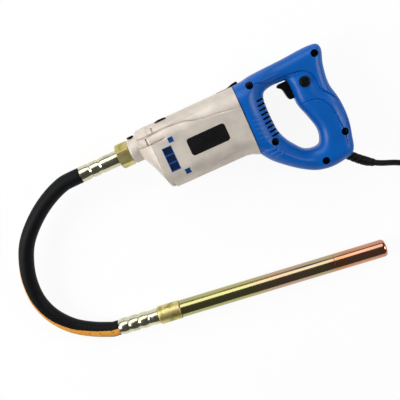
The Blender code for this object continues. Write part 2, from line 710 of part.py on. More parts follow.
def gear_outline(teeth, phase):
    """Involute teeth of stub height, as (side, up) points; phase turns the first tooth's middle."""
    pitch = teeth * MODULE / 2
    base = pitch * math.cos(PRESSURE_ANGLE)
    tip = pitch + TOOTH_ADDENDUM * MODULE
    root = pitch - TOOTH_DEDENDUM * MODULE
    involute = math.tan(PRESSURE_ANGLE) - PRESSURE_ANGLE

    def half_angle(radius):
        slope = math.acos(min(1, base / max(radius, base)))
        at_pitch = math.pi / (2 * teeth) - BACKLASH / (2 * pitch)
        return at_pitch + involute - (math.tan(slope) - slope)

    flank = [root, max(base, root), pitch, tip]
    points = []
    for tooth in range(teeth):
        middle = phase + 2 * math.pi * tooth / teeth
        for radius in flank:
            angle = middle - half_angle(radius)
            points.append((radius * math.cos(angle), radius * math.sin(angle)))
        for radius in reversed(flank):
            angle = middle + half_angle(radius)
            points.append((radius * math.cos(angle), radius * math.sin(angle)))
    return points


def gears():
    """The pinion has a tooth, and the wheel a gap, on the line between their axes."""
    wheel = gear_outline(WHEEL_TEETH, math.pi + math.pi / WHEEL_TEETH)
    extruded("drive_gear", [wheel, circle(SPINDLE_RADIUS + GAP)], GEARS_FRONT, GEARS_REAR,
             SPINDLE_AXIS, finish="dark_steel")
    pinion = gear_outline(PINION_TEETH, 0)
    extruded("motor_pinion", [pinion, circle(PINION_SHAFT_RADIUS + GAP, 16)], GEARS_FRONT,
             GEARS_REAR, MOTOR_AXIS, finish="dark_steel")


def bearing(name, start, width, inner, outer, origin, direction=(1, 0, 0)):
    """A sealed ball bearing, with its edges broken."""
    edge = 0.0005
    profile = [(start, inner), (start, outer - edge), (start + edge, outer),
               (start + width - edge, outer), (start + width, outer - edge), (start + width, inner)]
    return turned(name, profile, origin, direction, "steel", 18)


def spindle_group():
    """Output spindle with its gear seat, two bearings and the neck's seal."""
    front = NOSE - SPINDLE_REACH
    bearing_front = NOSE + NECK_BEARING_SETBACK
    bearing_rear = bearing_front + NECK_BEARING_WIDTH
    rear_end = PLATE_FRONT + BEARING_WIDTH
    profile = [(front, 0), (front, SPINDLE_RADIUS + 0.0015), (NOSE - 0.001, SPINDLE_RADIUS + 0.0015),
               (NOSE - 0.0005, SPINDLE_RADIUS), (bearing_rear + 0.0005, SPINDLE_RADIUS),
               (bearing_rear + 0.0010, SPINDLE_RADIUS + 0.0020),
               (GEARS_FRONT - GAP, SPINDLE_RADIUS + 0.0020), (GEARS_FRONT - GAP, SPINDLE_RADIUS),
               (GEARS_REAR + GAP, SPINDLE_RADIUS), (GEARS_REAR + GAP, SPINDLE_REAR_RADIUS),
               (rear_end, SPINDLE_REAR_RADIUS), (rear_end, 0)]
    spindle = turned("output_spindle", profile, SPINDLE_AXIS, finish="steel")
    half = DRIVE_SQUARE / 2 + GAP
    socket = box("socket", (front - 0.001, SPINDLE_Y - half, MID - half),
                 (front + 0.0070, SPINDLE_Y + half, MID + half))
    combine(spindle, [socket])
    bearing("spindle_front_bearing", bearing_front, NECK_BEARING_WIDTH, SPINDLE_RADIUS + GAP,
            NECK_BEARING_RADIUS, SPINDLE_AXIS)
    bearing("spindle_rear_bearing", PLATE_FRONT + GAP, BEARING_WIDTH - 2 * GAP,
            SPINDLE_REAR_RADIUS + GAP, SPINDLE_BEARING_RADIUS, SPINDLE_AXIS)
    sleeve("neck_seal", NOSE + GAP, bearing_front - GAP, SPINDLE_RADIUS + GAP, NECK_BEARING_RADIUS,
           SPINDLE_AXIS, finish="rubber")


def armature_group():
    """Armature shaft, slotted core, end windings, commutator, fan and the two bearings."""
    shaft_front = GEARS_FRONT - 0.0010
    shaft_rear = BRACKET_FRONT + BEARING_WIDTH + GAP
    bearing_front = PLATE_REAR - BEARING_WIDTH
    profile = [(shaft_front, 0), (shaft_front, PINION_SHAFT_RADIUS),
               (GEARS_REAR + GAP, PINION_SHAFT_RADIUS), (GEARS_REAR + GAP, JOURNAL_RADIUS),
               (PLATE_REAR + 0.0005, JOURNAL_RADIUS), (PLATE_REAR + 0.0005, SHAFT_RADIUS),
               (BRACKET_FRONT - 0.0005, SHAFT_RADIUS), (BRACKET_FRONT - 0.0005, JOURNAL_RADIUS),
               (shaft_rear, JOURNAL_RADIUS), (shaft_rear, 0)]
    turned("armature_shaft", profile, MOTOR_AXIS, finish="steel", steps=24)
    slot, tooth, half = SLOT_FLOOR, 2 * math.pi / ARMATURE_SLOTS, math.radians(4)
    outline = []
    for k in range(ARMATURE_SLOTS):
        middle = k * tooth
        for radius, offset in ((ARMATURE_RADIUS, -tooth / 2 + half), (ARMATURE_RADIUS, 0),
                               (ARMATURE_RADIUS, tooth / 2 - half), (slot, tooth / 2 - 1.6 * half),
                               (slot, tooth / 2 + 1.6 * half)):
            angle = middle + offset
            outline.append((radius * math.cos(angle), radius * math.sin(angle)))
    extruded("armature_core", [outline, circle(SHAFT_RADIUS + GAP, 24)], ARMATURE_FRONT,
             ARMATURE_REAR, MOTOR_AXIS, finish="dark_steel")
    bore = SHAFT_RADIUS + GAP
    head, edge = ARMATURE_RADIUS - WINDING_INSET, WINDING_INSET / 2
    start, end = FAN_REAR + 4 * GAP, ARMATURE_FRONT - GAP
    profile = [(start, bore), (start, COMMUTATOR_RADIUS - edge), (start + 3 * edge, head - 2 * edge),
               (end - edge, head), (end, head - edge), (end, bore)]
    winding = turned("armature_winding", profile, MOTOR_AXIS, finish="copper")
    start, end = ARMATURE_REAR + GAP, COMMUTATOR_FRONT - GAP
    profile = [(start, bore), (start, head - edge), (start + edge, head),
               (start + 0.6 * (end - start), head - 3 * edge), (end, COMMUTATOR_RADIUS - edge),
               (end, bore)]
    others = [turned("rear", profile, MOTOR_AXIS)]
    bar_top = ARMATURE_RADIUS - 2 * WINDING_INSET
    for k in range(ARMATURE_SLOTS):
        loop = []
        for radius, sign in ((slot + GAP, -1), (bar_top, -1), (bar_top, 1), (slot + GAP, 1)):
            angle = (k + 0.5) * tooth
            across = sign * (slot * math.sin(1.6 * half) - 2 * GAP)
            loop.append((radius * math.cos(angle) - across * math.sin(angle),
                         radius * math.sin(angle) + across * math.cos(angle)))
        others.append(extruded("bar", [loop], ARMATURE_FRONT - 0.001, ARMATURE_REAR + 0.001,
                               MOTOR_AXIS))
    combine(winding, others, "UNION", True)
    bars = []
    for k in range(COMMUTATOR_BARS):
        pitch = 2 * math.pi / COMMUTATOR_BARS
        for radius, share in ((COMMUTATOR_RADIUS, -0.42), (COMMUTATOR_RADIUS, 0.42),
                              (COMMUTATOR_RADIUS - BAR_GAP_DEPTH, 0.46),
                              (COMMUTATOR_RADIUS - BAR_GAP_DEPTH, 0.54)):
            angle = (k + share) * pitch
            bars.append((radius * math.cos(angle), radius * math.sin(angle)))
    extruded("commutator", [bars, circle(bore, 24)], COMMUTATOR_FRONT, COMMUTATOR_REAR, MOTOR_AXIS,
             finish="copper")
    bearing("armature_front_bearing", bearing_front - GAP, BEARING_WIDTH, JOURNAL_RADIUS + GAP,
            BEARING_RADIUS, MOTOR_AXIS)
    bearing("armature_rear_bearing", BRACKET_FRONT + GAP, BEARING_WIDTH, JOURNAL_RADIUS + GAP,
            BEARING_RADIUS, MOTOR_AXIS)
    fan()


def fan():
    """Centrifugal fan: a hub, a back disc and curved blades in front of it."""
    disc = FAN_DISC
    bore = SHAFT_RADIUS + GAP
    profile = [(FAN_FRONT, bore), (FAN_FRONT, 0.0090), (FAN_REAR - disc, 0.0110),
               (FAN_REAR - disc, FAN_RADIUS), (FAN_REAR, FAN_RADIUS), (FAN_REAR, bore)]
    wheel = turned("cooling_fan", profile, MOTOR_AXIS, finish="black")
    blades = []
    for k in range(FAN_BLADES):
        start = 2 * math.pi * k / FAN_BLADES
        middle, thickness, steps = [], BLADE_THICKNESS, 3
        for i in range(steps + 1):
            share = i / steps
            radius = BLADE_START + share * (FAN_RADIUS - BLADE_START - GAP)
            angle = start + BLADE_SWEEP * share
            middle.append(Vector((radius * math.cos(angle), radius * math.sin(angle))))
        outer, inner = [], []
        for i, p in enumerate(middle):
            run = middle[min(i + 1, steps)] - middle[max(i - 1, 0)]
            across = Vector((-run.y, run.x)).normalized() * thickness / 2
            outer.append(p + across)
            inner.append(p - across)
        loop = [(p.x, p.y) for p in outer] + [(p.x, p.y) for p in reversed(inner)]
        blades.append(extruded("blade", [loop], FAN_FRONT + 0.0015, FAN_REAR - disc / 2, MOTOR_AXIS))
    combine(wheel, blades, "UNION")


def stator_group():
    """Laminated stator with two poles above and below, and a coil round each pole."""
    loop = []
    steps = 6
    for pole in range(2):
        centre = pole * math.pi
        for i in range(steps + 1):
            angle = centre - POLE_HALF_ANGLE + 2 * POLE_HALF_ANGLE * i / steps
            loop.append((STATOR_BORE * math.cos(angle), STATOR_BORE * math.sin(angle)))
        slot = math.pi / 2 - POLE_HALF_ANGLE
        for i in range(steps + 1):
            angle = centre + math.pi / 2 - slot + 2 * slot * i / steps
            loop.append((STATOR_SLOT_RADIUS * math.cos(angle), STATOR_SLOT_RADIUS * math.sin(angle)))
    extruded("stator_core", [circle(STATOR_RADIUS, 36), loop], STATOR_FRONT, STATOR_REAR,
             MOTOR_AXIS, finish="dark_steel")
    middle = STATOR_SLOT_RADIUS - COIL_RADIUS - GAP
    edge = math.asin((COIL_RADIUS + GAP) / middle)
    reach = POLE_HALF_ANGLE + edge
    turn_out = COIL_RADIUS + 2 * GAP
    for sign, name in ((1, "field_coil_upper"), (-1, "field_coil_lower")):
        path = []
        for x, direction in ((STATOR_FRONT - turn_out, 1), (STATOR_REAR + turn_out, -1)):
            for i in range(9):
                angle = direction * reach * (1 - 2 * i / 8)
                path.append((x, sign * middle * math.cos(angle), MID + middle * math.sin(angle)))
        tube(name, path, COIL_RADIUS, "copper", 2, closed=True)


def brush_group():
    """Two carbon brushes on the commutator, each in a brass holder under a screwed cap."""
    for sign, word in ((1, "upper"), (-1, "lower")):
        half_x, half_z = BRUSH_THICKNESS / 2, BRUSH_WIDTH / 2
        start = COMMUTATOR_RADIUS + GAP
        low, high = sorted((sign * start, sign * (start + BRUSH_LENGTH)))
        box(f"brush_{word}", (BRUSH_X - half_x, low, MID - half_z),
            (BRUSH_X + half_x, high, MID + half_z), "carbon")
        outer = HOLDER_WALL + GAP
        holder_start = start + BRUSH_BARE
        holder_end = CAP_SEAT - GAP
        low, high = sorted((sign * holder_start, sign * holder_end))
        holder = box(f"brush_holder_{word}",
                     (BRUSH_X - half_x - outer, low, MID - half_z - outer),
                     (BRUSH_X + half_x + outer, high, MID + half_z + outer), "brass")
        flange = rod("flange", HOUSING_HEIGHT / 2 - HOUSING_WALL, holder_end, HOLDER_FLANGE_RADIUS,
                     (BRUSH_X, 0, MID), (0, sign, 0), steps=16)
        combine(holder, [flange], "UNION")
        low, high = sorted((sign * (holder_start - 0.001), sign * (holder_end + 0.001)))
        channel = box("channel", (BRUSH_X - half_x - GAP, low, MID - half_z - GAP),
                      (BRUSH_X + half_x + GAP, high, MID + half_z + GAP))
        combine(holder, [channel])
        edge = BRUSH_CAP_HEIGHT / 4
        cap_end = CAP_SEAT + BRUSH_CAP_HEIGHT
        profile = [(CAP_SEAT, 0), (CAP_SEAT, BRUSH_CAP_RADIUS), (cap_end - edge, BRUSH_CAP_RADIUS),
                   (cap_end, BRUSH_CAP_RADIUS - edge), (cap_end, 0)]
        cap = turned(f"brush_cap_{word}", profile, (BRUSH_X, 0, MID), (0, sign, 0), "black", 20)
        half_long, half_wide = CAP_SLOT[0] / 2, CAP_SLOT[1] / 2
        low, high = sorted((sign * (cap_end - CAP_SLOT[2]), sign * (cap_end + BEYOND)))
        combine(cap, [box("slot", (BRUSH_X - half_long, low, MID - half_wide),
                          (BRUSH_X + half_long, high, MID + half_wide))])


# ---------------------------------------------------------------- handle

def blend(start, end, share):
    share = min(1.0, max(0.0, share))
    return start + (end - start) * share * share * (3 - 2 * share)


def handle_half(x):
    """The shell's half thickness at a distance behind the housing."""
    return blend(HANDLE_FRONT_HALF, GRIP_HALF, (x - TAPER_START) / (TAPER_END - TAPER_START))


def shoulder(x):
    return blend(FRONT_SHOULDER, GRIP_SHOULDER, (x - TAPER_START) / (TAPER_END - TAPER_START))


def offset_chain(points, distance, closed):
    """Points moved to the left of their direction of travel by a distance."""
    moved = []
    count = len(points)
    for i, p in enumerate(points):
        before = points[(i - 1) % count] if closed or i > 0 else p
        after = points[(i + 1) % count] if closed or i < count - 1 else p
        run = (after - before).normalized()
        moved.append(Vector((p.x - run.y * distance, p.y + run.x * distance)))
    return moved


def distance_to(point, chains):
    """The shortest distance from a point to a set of poly lines."""
    best = 1.0
    for start, end in chains:
        run = end - start
        share = ((point - start) * run).sum(axis=1) / (run * run).sum(axis=1)
        share = np.clip(share, 0, 1)[:, None]
        best = min(best, float(np.linalg.norm(point - start - share * run, axis=1).min()))
    return best


def handle_solid(name, side, inset, front, base, levels, detail):
    """One half of the D-handle as a height above its parting plane.

    The height falls off towards the outline and the opening as a quarter ellipse, whose size is
    the shoulder at that distance behind the housing.
    """
    outline = [Vector(p) for p in HANDLE_OUTLINE]
    outer = [Vector(p[:2]) for p in smooth_path([(p.x, p.y, 0) for p in outline], detail)]
    hole = [Vector(p[:2]) for p in smooth_path([(x, y, 0) for x, y in OPENING_OUTLINE], detail, True)]
    outer = offset_chain(outer, -inset, False)
    hole = offset_chain(hole, -inset, True)
    outer[0].x = outer[-1].x = front
    chains = []
    for chain, closed in ((outer, False), (hole, True)):
        points = np.array([p[:] for p in chain])
        ends = np.roll(points, -1, axis=0) if closed else points[1:]
        chains.append((points if closed else points[:-1], ends))

    def height(p):
        depth = distance_to(np.array(p[:]), chains)
        size = shoulder(p[0])
        full = handle_half(p[0]) - inset
        fall = min(size, full - 0.0035)
        share = min(1.0, depth / size)
        return full - fall + fall * math.sqrt(max(0.0, 1 - (1 - share) ** 2))

    spread = outer[0].y - outer[-1].y
    sizes = [FRONT_SHOULDER * (1 - math.cos(math.pi / 2 * (k + 1) / levels)) for k in range(levels)]
    face = [outer[-1].y + s for s in sizes] + [outer[-1].y + spread * 0.5]
    face += [outer[0].y - s for s in reversed(sizes)]
    front_line = [Vector((front, y)) for y in face]
    loop = outer + front_line
    extra = []
    for chain, closed in ((outer, False), (hole, True)):
        for k in range(levels):
            share = 1 - math.cos(math.pi / 2 * (k + 1) / levels)
            for p in chain[1:-1] if not closed else chain:
                reach = share * shoulder(p.x)
                index = chain.index(p)
                moved = offset_chain(chain, -reach, closed)[index]
                if distance_to(np.array(moved[:]), chains) > 0.93 * reach and moved.x > front + 0.001:
                    extra.append(moved)
    loops = [loop, hole]
    outer_np = np.array([p[:] for p in loop])
    hole_np = np.array([p[:] for p in hole])
    extra = [p for p in extra if inside(p[:], outer_np) and not inside(p[:], hole_np)]
    step = 0.019
    for x in np.arange(max(front, 0) + step * 0.7, 0.130, step):
        for y in np.arange(-0.110, 0.056, step):
            spot = np.array((x, y))
            deep = distance_to(spot, chains) > shoulder(x) * 1.05
            if deep and inside(spot, outer_np) and not inside(spot, hole_np):
                extra.append(Vector((x, y)))
    flat, triangles = flat_fill(loops, extra)
    under, under_triangles = flat_fill(loops)
    count = len(flat)
    points = [(REAR + p.x, p.y, MID + side * height(p)) for p in flat]
    points += [(REAR + p.x, p.y, MID + side * base) for p in under]
    faces = list(triangles) + [tuple(i + count for i in t) for t in under_triangles]
    first = 0
    for ring in loops:
        size = len(ring)
        for i in range(size):
            a, b = first + i, first + (i + 1) % size
            faces.append((a, b, b + count, a + count))
        first += size
    return mesh_object(name, points, faces, smooth_below=50)


def handle_shells():
    for side, word in ((1, "left"), (-1, "right")):
        shell = handle_solid(f"handle_shell_{word}", side, 0, GAP, GAP / 2, 3, 2)
        cavity = handle_solid("cavity", side, HANDLE_WALL, -0.004, -0.002, 2, 1)
        combine(shell, [cavity])
        bosses, recesses = [], []
        for x, y in HANDLE_SCREWS:
            top = MID + side * (handle_half(x) - HANDLE_WALL / 2)
            start = MID + side * GAP / 2
            centre = (REAR + x, y, 0)
            low, high = sorted((start, top))
            bosses.append(rod("boss", low, high, BOSS_RADIUS, centre, (0, 0, 1), steps=10))
            seat = MID + side * (handle_half(x) - SCREW_HEAD_DEPTH)
            low, high = sorted((seat, MID + side * (handle_half(x) + BEYOND)))
            recesses.append(rod("recess", low, high, SCREW_RECESS_RADIUS, centre, (0, 0, 1),
                                steps=14))
        for place in SWITCH_RIBS:
            low, high = sorted((MID + side * (SWITCH_WIDTH / 2 + GAP),
                                MID + side * (GRIP_HALF - HANDLE_WALL / 2)))
            bosses.append(box("rib", (REAR + place, SWITCH_BOTTOM + RIB_END, low),
                              (REAR + place + RIB_THICKNESS, SWITCH_TOP - RIB_END, high)))
        combine(shell, bosses, "UNION", True)
        combine(shell, recesses)
        low, high = sorted((MID - side * HANDLE_WALL, MID + side * MID))
        holes = [rod("hole", low, high, SCREW_SHANK_RADIUS + GAP, (REAR + x, y, 0), (0, 0, 1),
                     steps=8) for x, y in HANDLE_SCREWS]
        combine(shell, holes)
        combine(shell, trigger_window(side))
        combine(shell, [loft("cord_channel", boot_rings(GAP))])
        slots = []
        for k in range(SIDE_SLOTS):
            y = FIRST_SLOT_Y - k * SLOT_PITCH
            edge = opening_front(y)
            x0, x1 = REAR + edge - SLOT_LENGTH, REAR + edge + SLOT_LENGTH
            low, high = sorted((MID + side * SLOT_FROM_MIDDLE, MID + side * (MID + HANDLE_WALL)))
            slots.append(box("slot", (x0, y - SLOT_WIDTH / 2, low), (x1, y + SLOT_WIDTH / 2, high)))
        combine(shell, slots)
        if side > 0:
            x, y = BUTTON_AT
            surface = MID + handle_half(x)
            combine(shell, [rod("collar", surface - HANDLE_WALL / 2, surface + COLLAR_RISE,
                                BUTTON_COLLAR_RADIUS, (REAR + x, y, 0), (0, 0, 1), steps=24)],
                    "UNION")
            combine(shell, [rod("button_hole", MID + SWITCH_WIDTH / 2, surface + BEYOND,
                                BUTTON_RADIUS + GAP, (REAR + x, y, 0), (0, 0, 1), steps=24)])
        paint(shell, "blue")


def opening_front(y):
    """How far behind the housing the opening's front wall lies at a height."""
    middle = sum(p[0] for p in OPENING_OUTLINE) / len(OPENING_OUTLINE)
    wall = [p for p in OPENING_OUTLINE if p[0] < middle]
    wall.sort(key=lambda p: p[1])
    return float(np.interp(y, [p[1] for p in wall], [p[0] for p in wall]))


def trigger_window(side):
    """Slot in the grip's front wall that the trigger slides through."""
    half = TRIGGER_WIDTH / 2 + GAP
    low, high = sorted((MID - side * 0.001, MID + side * half))
    return [box("trigger_window", (REAR + TRIGGER_FRONT, TRIGGER_BOTTOM - GAP, low),
                (REAR + TRIGGER_BACK + 0.001, TRIGGER_TOP + GAP, high))]


def handle_screws():
    """Pan-head screws, each in its recess, from the left shell into the right one."""
    for number, (x, y) in enumerate(HANDLE_SCREWS, 1):
        seat = MID + handle_half(x) - SCREW_HEAD_DEPTH + GAP
        end = MID - SCREW_REACH
        profile = [(end, 0), (end + SCREW_SHANK_RADIUS / 2, SCREW_SHANK_RADIUS),
                   (seat, SCREW_SHANK_RADIUS),
                   (seat, SCREW_HEAD_RADIUS), (seat + 0.6 * SCREW_HEAD_HEIGHT, SCREW_HEAD_RADIUS),
                   (seat + SCREW_HEAD_HEIGHT, 0.6 * SCREW_HEAD_RADIUS), (seat + SCREW_HEAD_HEIGHT, 0)]
        turned(f"handle_screw_{number}", profile, (REAR + x, y, 0), (0, 0, 1), "black", 14)


def switch_group():
    """Switch body in the grip, the trigger in front of it and the lock button on its side."""
    back = TRIGGER_BACK + TRIGGER_TRAVEL + 2 * GAP
    box("switch_body", (REAR + back, SWITCH_BOTTOM, MID - SWITCH_WIDTH / 2),
        (REAR + back + SWITCH_LENGTH, SWITCH_TOP, MID + SWITCH_WIDTH / 2), "black")
    top, bottom = TRIGGER_TOP - GAP, TRIGGER_BOTTOM + GAP
    side_view = [(TRIGGER_BACK, bottom), (TRIGGER_BACK, top)]
    side_view += [(TRIGGER_FRONT + x, top - y) for x, y in FINGER_CURVE]
    side_view += [(TRIGGER_FRONT + 0.0034, bottom + 0.0040), (TRIGGER_FRONT + 0.0048, bottom)]
    half = TRIGGER_WIDTH / 2
    loop = [(REAR + x, y) for x, y in side_view]
    extruded_up("trigger", loop, MID - half, MID + half, "black")
    x, y = BUTTON_AT
    surface = MID + handle_half(x)
    stem_end = MID + SWITCH_WIDTH / 2 + BUTTON_TRAVEL + 2 * GAP
    top, edge = surface + BUTTON_PROUD, BUTTON_RADIUS / 4
    profile = [(stem_end, 0), (stem_end, BUTTON_RADIUS), (top - edge, BUTTON_RADIUS),
               (top - edge / 4, BUTTON_RADIUS - 0.75 * edge), (top, BUTTON_RADIUS / 2), (top, 0)]
    turned("lock_button", profile, (REAR + x, y, 0), (0, 0, 1), "black", 24)


def extruded_up(name, loop, low, high, finish=None):
    """A flat outline of (x, y) points extruded upwards."""
    flat, triangles = flat_fill([loop])
    count = len(flat)
    points = [(p.x, p.y, low) for p in flat] + [(p.x, p.y, high) for p in flat]
    faces = [tuple(reversed(t)) for t in triangles] + [tuple(i + count for i in t)
                                                       for t in triangles]
    faces += [(i, (i + 1) % count, (i + 1) % count + count, i + count) for i in range(count)]
    return mesh_object(name, points, faces, finish)


# ---------------------------------------------------------------- coupling, hose and head

def coupling_group():
    """Hexagonal nut, hose tail, crimped ferrule and the flexible shaft's driving end."""
    nut_rear = NOSE - GAP
    nut_front = nut_rear - NUT_LENGTH
    corner = NUT_ACROSS_FLATS / math.sqrt(3)
    ring = []
    for k in range(6):
        angle = NUT_TURN + k * math.pi / 3
        ring.append((corner * math.cos(angle), corner * math.sin(angle)))
    nut = extruded("coupling_nut", [ring], nut_front, nut_rear, SPINDLE_AXIS, finish="zinc")
    chamfer = NUT_CHAMFER
    keep = turned("keep", [(nut_front, 0), (nut_front, corner - chamfer),
                           (nut_front + chamfer, corner + 0.0002), (nut_rear - chamfer,
                           corner + 0.0002), (nut_rear, corner - chamfer), (nut_rear, 0)],
                  SPINDLE_AXIS, steps=24)
    combine(nut, [keep], "INTERSECT")
    combine(nut, [rod("bore", nut_front - 0.001, nut_rear + 0.001, TAIL_RADIUS + GAP,
                      SPINDLE_AXIS)])
    tail_end = nut_front - FERRULE_LENGTH + TAIL_SETBACK
    inner = FERRULE_RADIUS - FERRULE_WALL - GAP
    mouth = SPINDLE_RADIUS + 0.0015 + RUNNING_GAP
    pocket = NOSE - SPINDLE_REACH - 0.0010
    profile = [(tail_end, TAIL_BORE), (tail_end, inner), (nut_front, inner),
               (nut_front, TAIL_RADIUS), (nut_rear, TAIL_RADIUS), (nut_rear, mouth),
               (pocket, mouth), (pocket, TAIL_BORE)]
    turned("hose_tail", profile, SPINDLE_AXIS, finish="steel")
    start = nut_front - GAP - FERRULE_LENGTH
    profile = [(start, inner + GAP), (start, FERRULE_RADIUS - 0.0008),
               (start + 0.0010, FERRULE_RADIUS)]
    for place in CRIMPS:
        middle = start + place
        profile += [(middle - CRIMP_WIDTH, FERRULE_RADIUS),
                    (middle - CRIMP_WIDTH / 2, FERRULE_RADIUS - CRIMP_DEPTH),
                    (middle + CRIMP_WIDTH / 2, FERRULE_RADIUS - CRIMP_DEPTH),
                    (middle + CRIMP_WIDTH, FERRULE_RADIUS)]
    end = nut_front - GAP
    profile += [(end, FERRULE_RADIUS), (end, inner + GAP)]
    turned("upper_ferrule", profile, SPINDLE_AXIS, finish="zinc")
    drive = DRIVE_SQUARE / 2
    tip = NOSE - SPINDLE_REACH
    shaft = rod("shaft_end_upper", tip - SHAFT_END_LENGTH, tip - GAP, SHAFT_END_RADIUS,
                SPINDLE_AXIS, finish="steel", steps=20)
    tongue = box("tongue", (tip - TONGUE_LENGTH / 2, SPINDLE_Y - drive, MID - drive),
                 (tip + TONGUE_LENGTH, SPINDLE_Y + drive, MID + drive))
    combine(shaft, [tongue], "UNION")
    screw_x = NOSE + NECK_LENGTH / 2
    seat = NECK_RADIUS + GAP
    tip, head = NECK_BEARING_RADIUS + 0.0010, seat + LOCK_HEAD_HEIGHT
    edge = LOCK_HEAD_HEIGHT / 4
    turned("neck_lock_screw", [(tip, 0), (tip, LOCK_SHANK), (seat, LOCK_SHANK), (seat, LOCK_HEAD),
                               (head - edge, LOCK_HEAD), (head, LOCK_HEAD - edge), (head, 0)],
           (screw_x, SPINDLE_Y, MID), (0, 1, 0), "black", 20)
    return start


# The hose's bend: its place ahead of the nose as a share of HEAD_AHEAD, its place towards the
# tool's bottom as a share of HEAD_DROP, and its height above the floor
HOSE_ROUTE = (
    (0.8100, -0.1007, 0.0436), (1.0277, -0.0501, 0.0420), (1.2611, 0.0411, 0.0390),
    (1.4684, 0.1631, 0.0350), (1.5844, 0.2837, 0.0310), (1.6629, 0.4208, 0.0262),
    (1.6854, 0.5745, 0.0217), (1.6255, 0.7187, 0.0180), (1.4759, 0.8487, 0.0155),
    (1.2851, 0.9338, 0.0142),
)


def hose(start):
    """The hose leaves each ferrule straight, and swings down to the floor between them."""
    straight = HOSE_DIAMETER / 2
    first = Vector((start - GAP, SPINDLE_Y, MID))
    last = HEAD_ORIGIN - HEAD_DIRECTION * GAP
    bend = ((first.x - straight, first.y, first.z),)
    bend += tuple((NOSE - HEAD_AHEAD * ahead, -HEAD_DROP * down, z) for ahead, down, z in HOSE_ROUTE)
    bend += (tuple(last - HEAD_DIRECTION * straight),)
    points = [first] + smooth_path(bend, 2) + [last]
    tube("hose", points, HOSE_DIAMETER / 2, "rubber", 3)


def head_group():
    """Lower ferrule, collar, tube, tip and the out-of-balance rotor with its bearings."""
    here, along = HEAD_ORIGIN, HEAD_DIRECTION
    inner = LOWER_FERRULE_RADIUS - FERRULE_WALL
    profile = [(0, inner + GAP), (0, LOWER_FERRULE_RADIUS - 0.0010)]
    waist = LOWER_FERRULE_RADIUS - BULGE_HEIGHT / 2
    for k in range(BULGES):
        start = BULGE_START + k * BULGE_PITCH
        for share, lift in ((0.0, 0.0), (0.22, 1.0), (0.68, 1.0), (0.9, 0.0)):
            profile.append((start + share * BULGE_PITCH, waist + lift * BULGE_HEIGHT))
    end = LOWER_FERRULE_LENGTH
    profile += [(end - BULGE_PITCH * 0.8, waist), (end, LOWER_FERRULE_RADIUS), (end, inner + GAP)]
    turned("lower_ferrule", profile, here, along, "zinc")
    collar_start, collar_end = end + GAP, end + GAP + COLLAR_LENGTH
    spigot_start = COLLAR_SPIGOT
    shaft_room = SHAFT_END_RADIUS + RUNNING_GAP
    tube_inner = HEAD_RADIUS - HEAD_WALL
    nose, edge = collar_end + TUBE_SPIGOT, COLLAR_EDGE
    profile = [(spigot_start, shaft_room), (spigot_start, inner), (collar_start, inner),
               (collar_start, COLLAR_RADIUS - edge), (collar_start + edge, COLLAR_RADIUS),
               (collar_end - edge, COLLAR_RADIUS), (collar_end, COLLAR_RADIUS - edge),
               (collar_end, tube_inner - GAP), (nose, tube_inner - GAP), (nose, shaft_room)]
    turned("head_collar", profile, here, along, "zinc")
    tube_start = collar_end + GAP
    tube_end = tube_start + HEAD_TUBE_LENGTH
    profile = [(tube_start, tube_inner), (tube_start, HEAD_RADIUS - 2 * SEAM_EDGE),
               (tube_start + 2 * SEAM_EDGE, HEAD_RADIUS), (tube_end - SEAM_EDGE, HEAD_RADIUS),
               (tube_end, HEAD_RADIUS - SEAM_EDGE), (tube_end, tube_inner)]
    turned("head_tube", profile, here, along, "poker", 28)
    tip_start = tube_end + GAP
    tip_end = tip_start + TIP_LENGTH
    spigot = tip_start - TIP_SPIGOT
    profile = [(spigot, 0), (spigot, tube_inner - GAP), (tip_start, tube_inner - GAP),
               (tip_start, HEAD_RADIUS - SEAM_EDGE), (tip_start + SEAM_EDGE, HEAD_RADIUS)]
    for angle in (0, 30, 60, 90):
        turn = math.radians(angle)
        profile.append((tip_end - TIP_CHAMFER * (1 - math.sin(turn)),
                        HEAD_RADIUS - TIP_CHAMFER * (1 - math.cos(turn))))
    profile.append((tip_end, 0))
    turned("head_tip", profile, here, along, "poker", 28)
    rotor_group(nose, spigot, tube_inner)


def rotor_group(nose, spigot, tube_inner):
    """Rotor between two bearings: the shaft, and a mass that fills only one side of it."""
    here, along = HEAD_ORIGIN, HEAD_DIRECTION
    rear = spigot - GAP
    rear_bearing = rear - HEAD_BEARING_WIDTH
    mass_end = rear_bearing - BEARING_FREE
    mass_start = mass_end - ROTOR_LENGTH
    front_bearing = mass_start - BEARING_FREE - HEAD_BEARING_WIDTH
    for name, start in (("rotor_bearing_rear", rear_bearing), ("rotor_bearing_front",
                                                               front_bearing)):
        bearing(name, start, HEAD_BEARING_WIDTH, ROTOR_SHAFT_RADIUS + GAP, tube_inner - GAP, here,
                along)
    shaft_start = nose + HEAD_SEAL + RUNNING_GAP
    rotor = rod("eccentric_rotor", shaft_start, rear - GAP, ROTOR_SHAFT_RADIUS, here, along,
                "steel", 24)
    lobe = []
    for i in range(17):
        angle = -math.pi * i / 16
        lobe.append((ROTOR_RADIUS * math.cos(angle), ROTOR_RADIUS * math.sin(angle)))
    lobe += [(-ROTOR_RADIUS, 0.0008), (ROTOR_RADIUS, 0.0008)]
    combine(rotor, [extruded("mass", [lobe], mass_start, mass_end, here, along)], "UNION")
    sleeve("head_seal", nose + GAP, nose + HEAD_SEAL, SHAFT_END_RADIUS + 2 * GAP,
           tube_inner - GAP, here, along, "rubber", 18)
    rod("shaft_end_lower", COLLAR_SPIGOT + TIP_CHAMFER, shaft_start - GAP, SHAFT_END_RADIUS, here,
        along, "steel", 20)


# ---------------------------------------------------------------- power cord

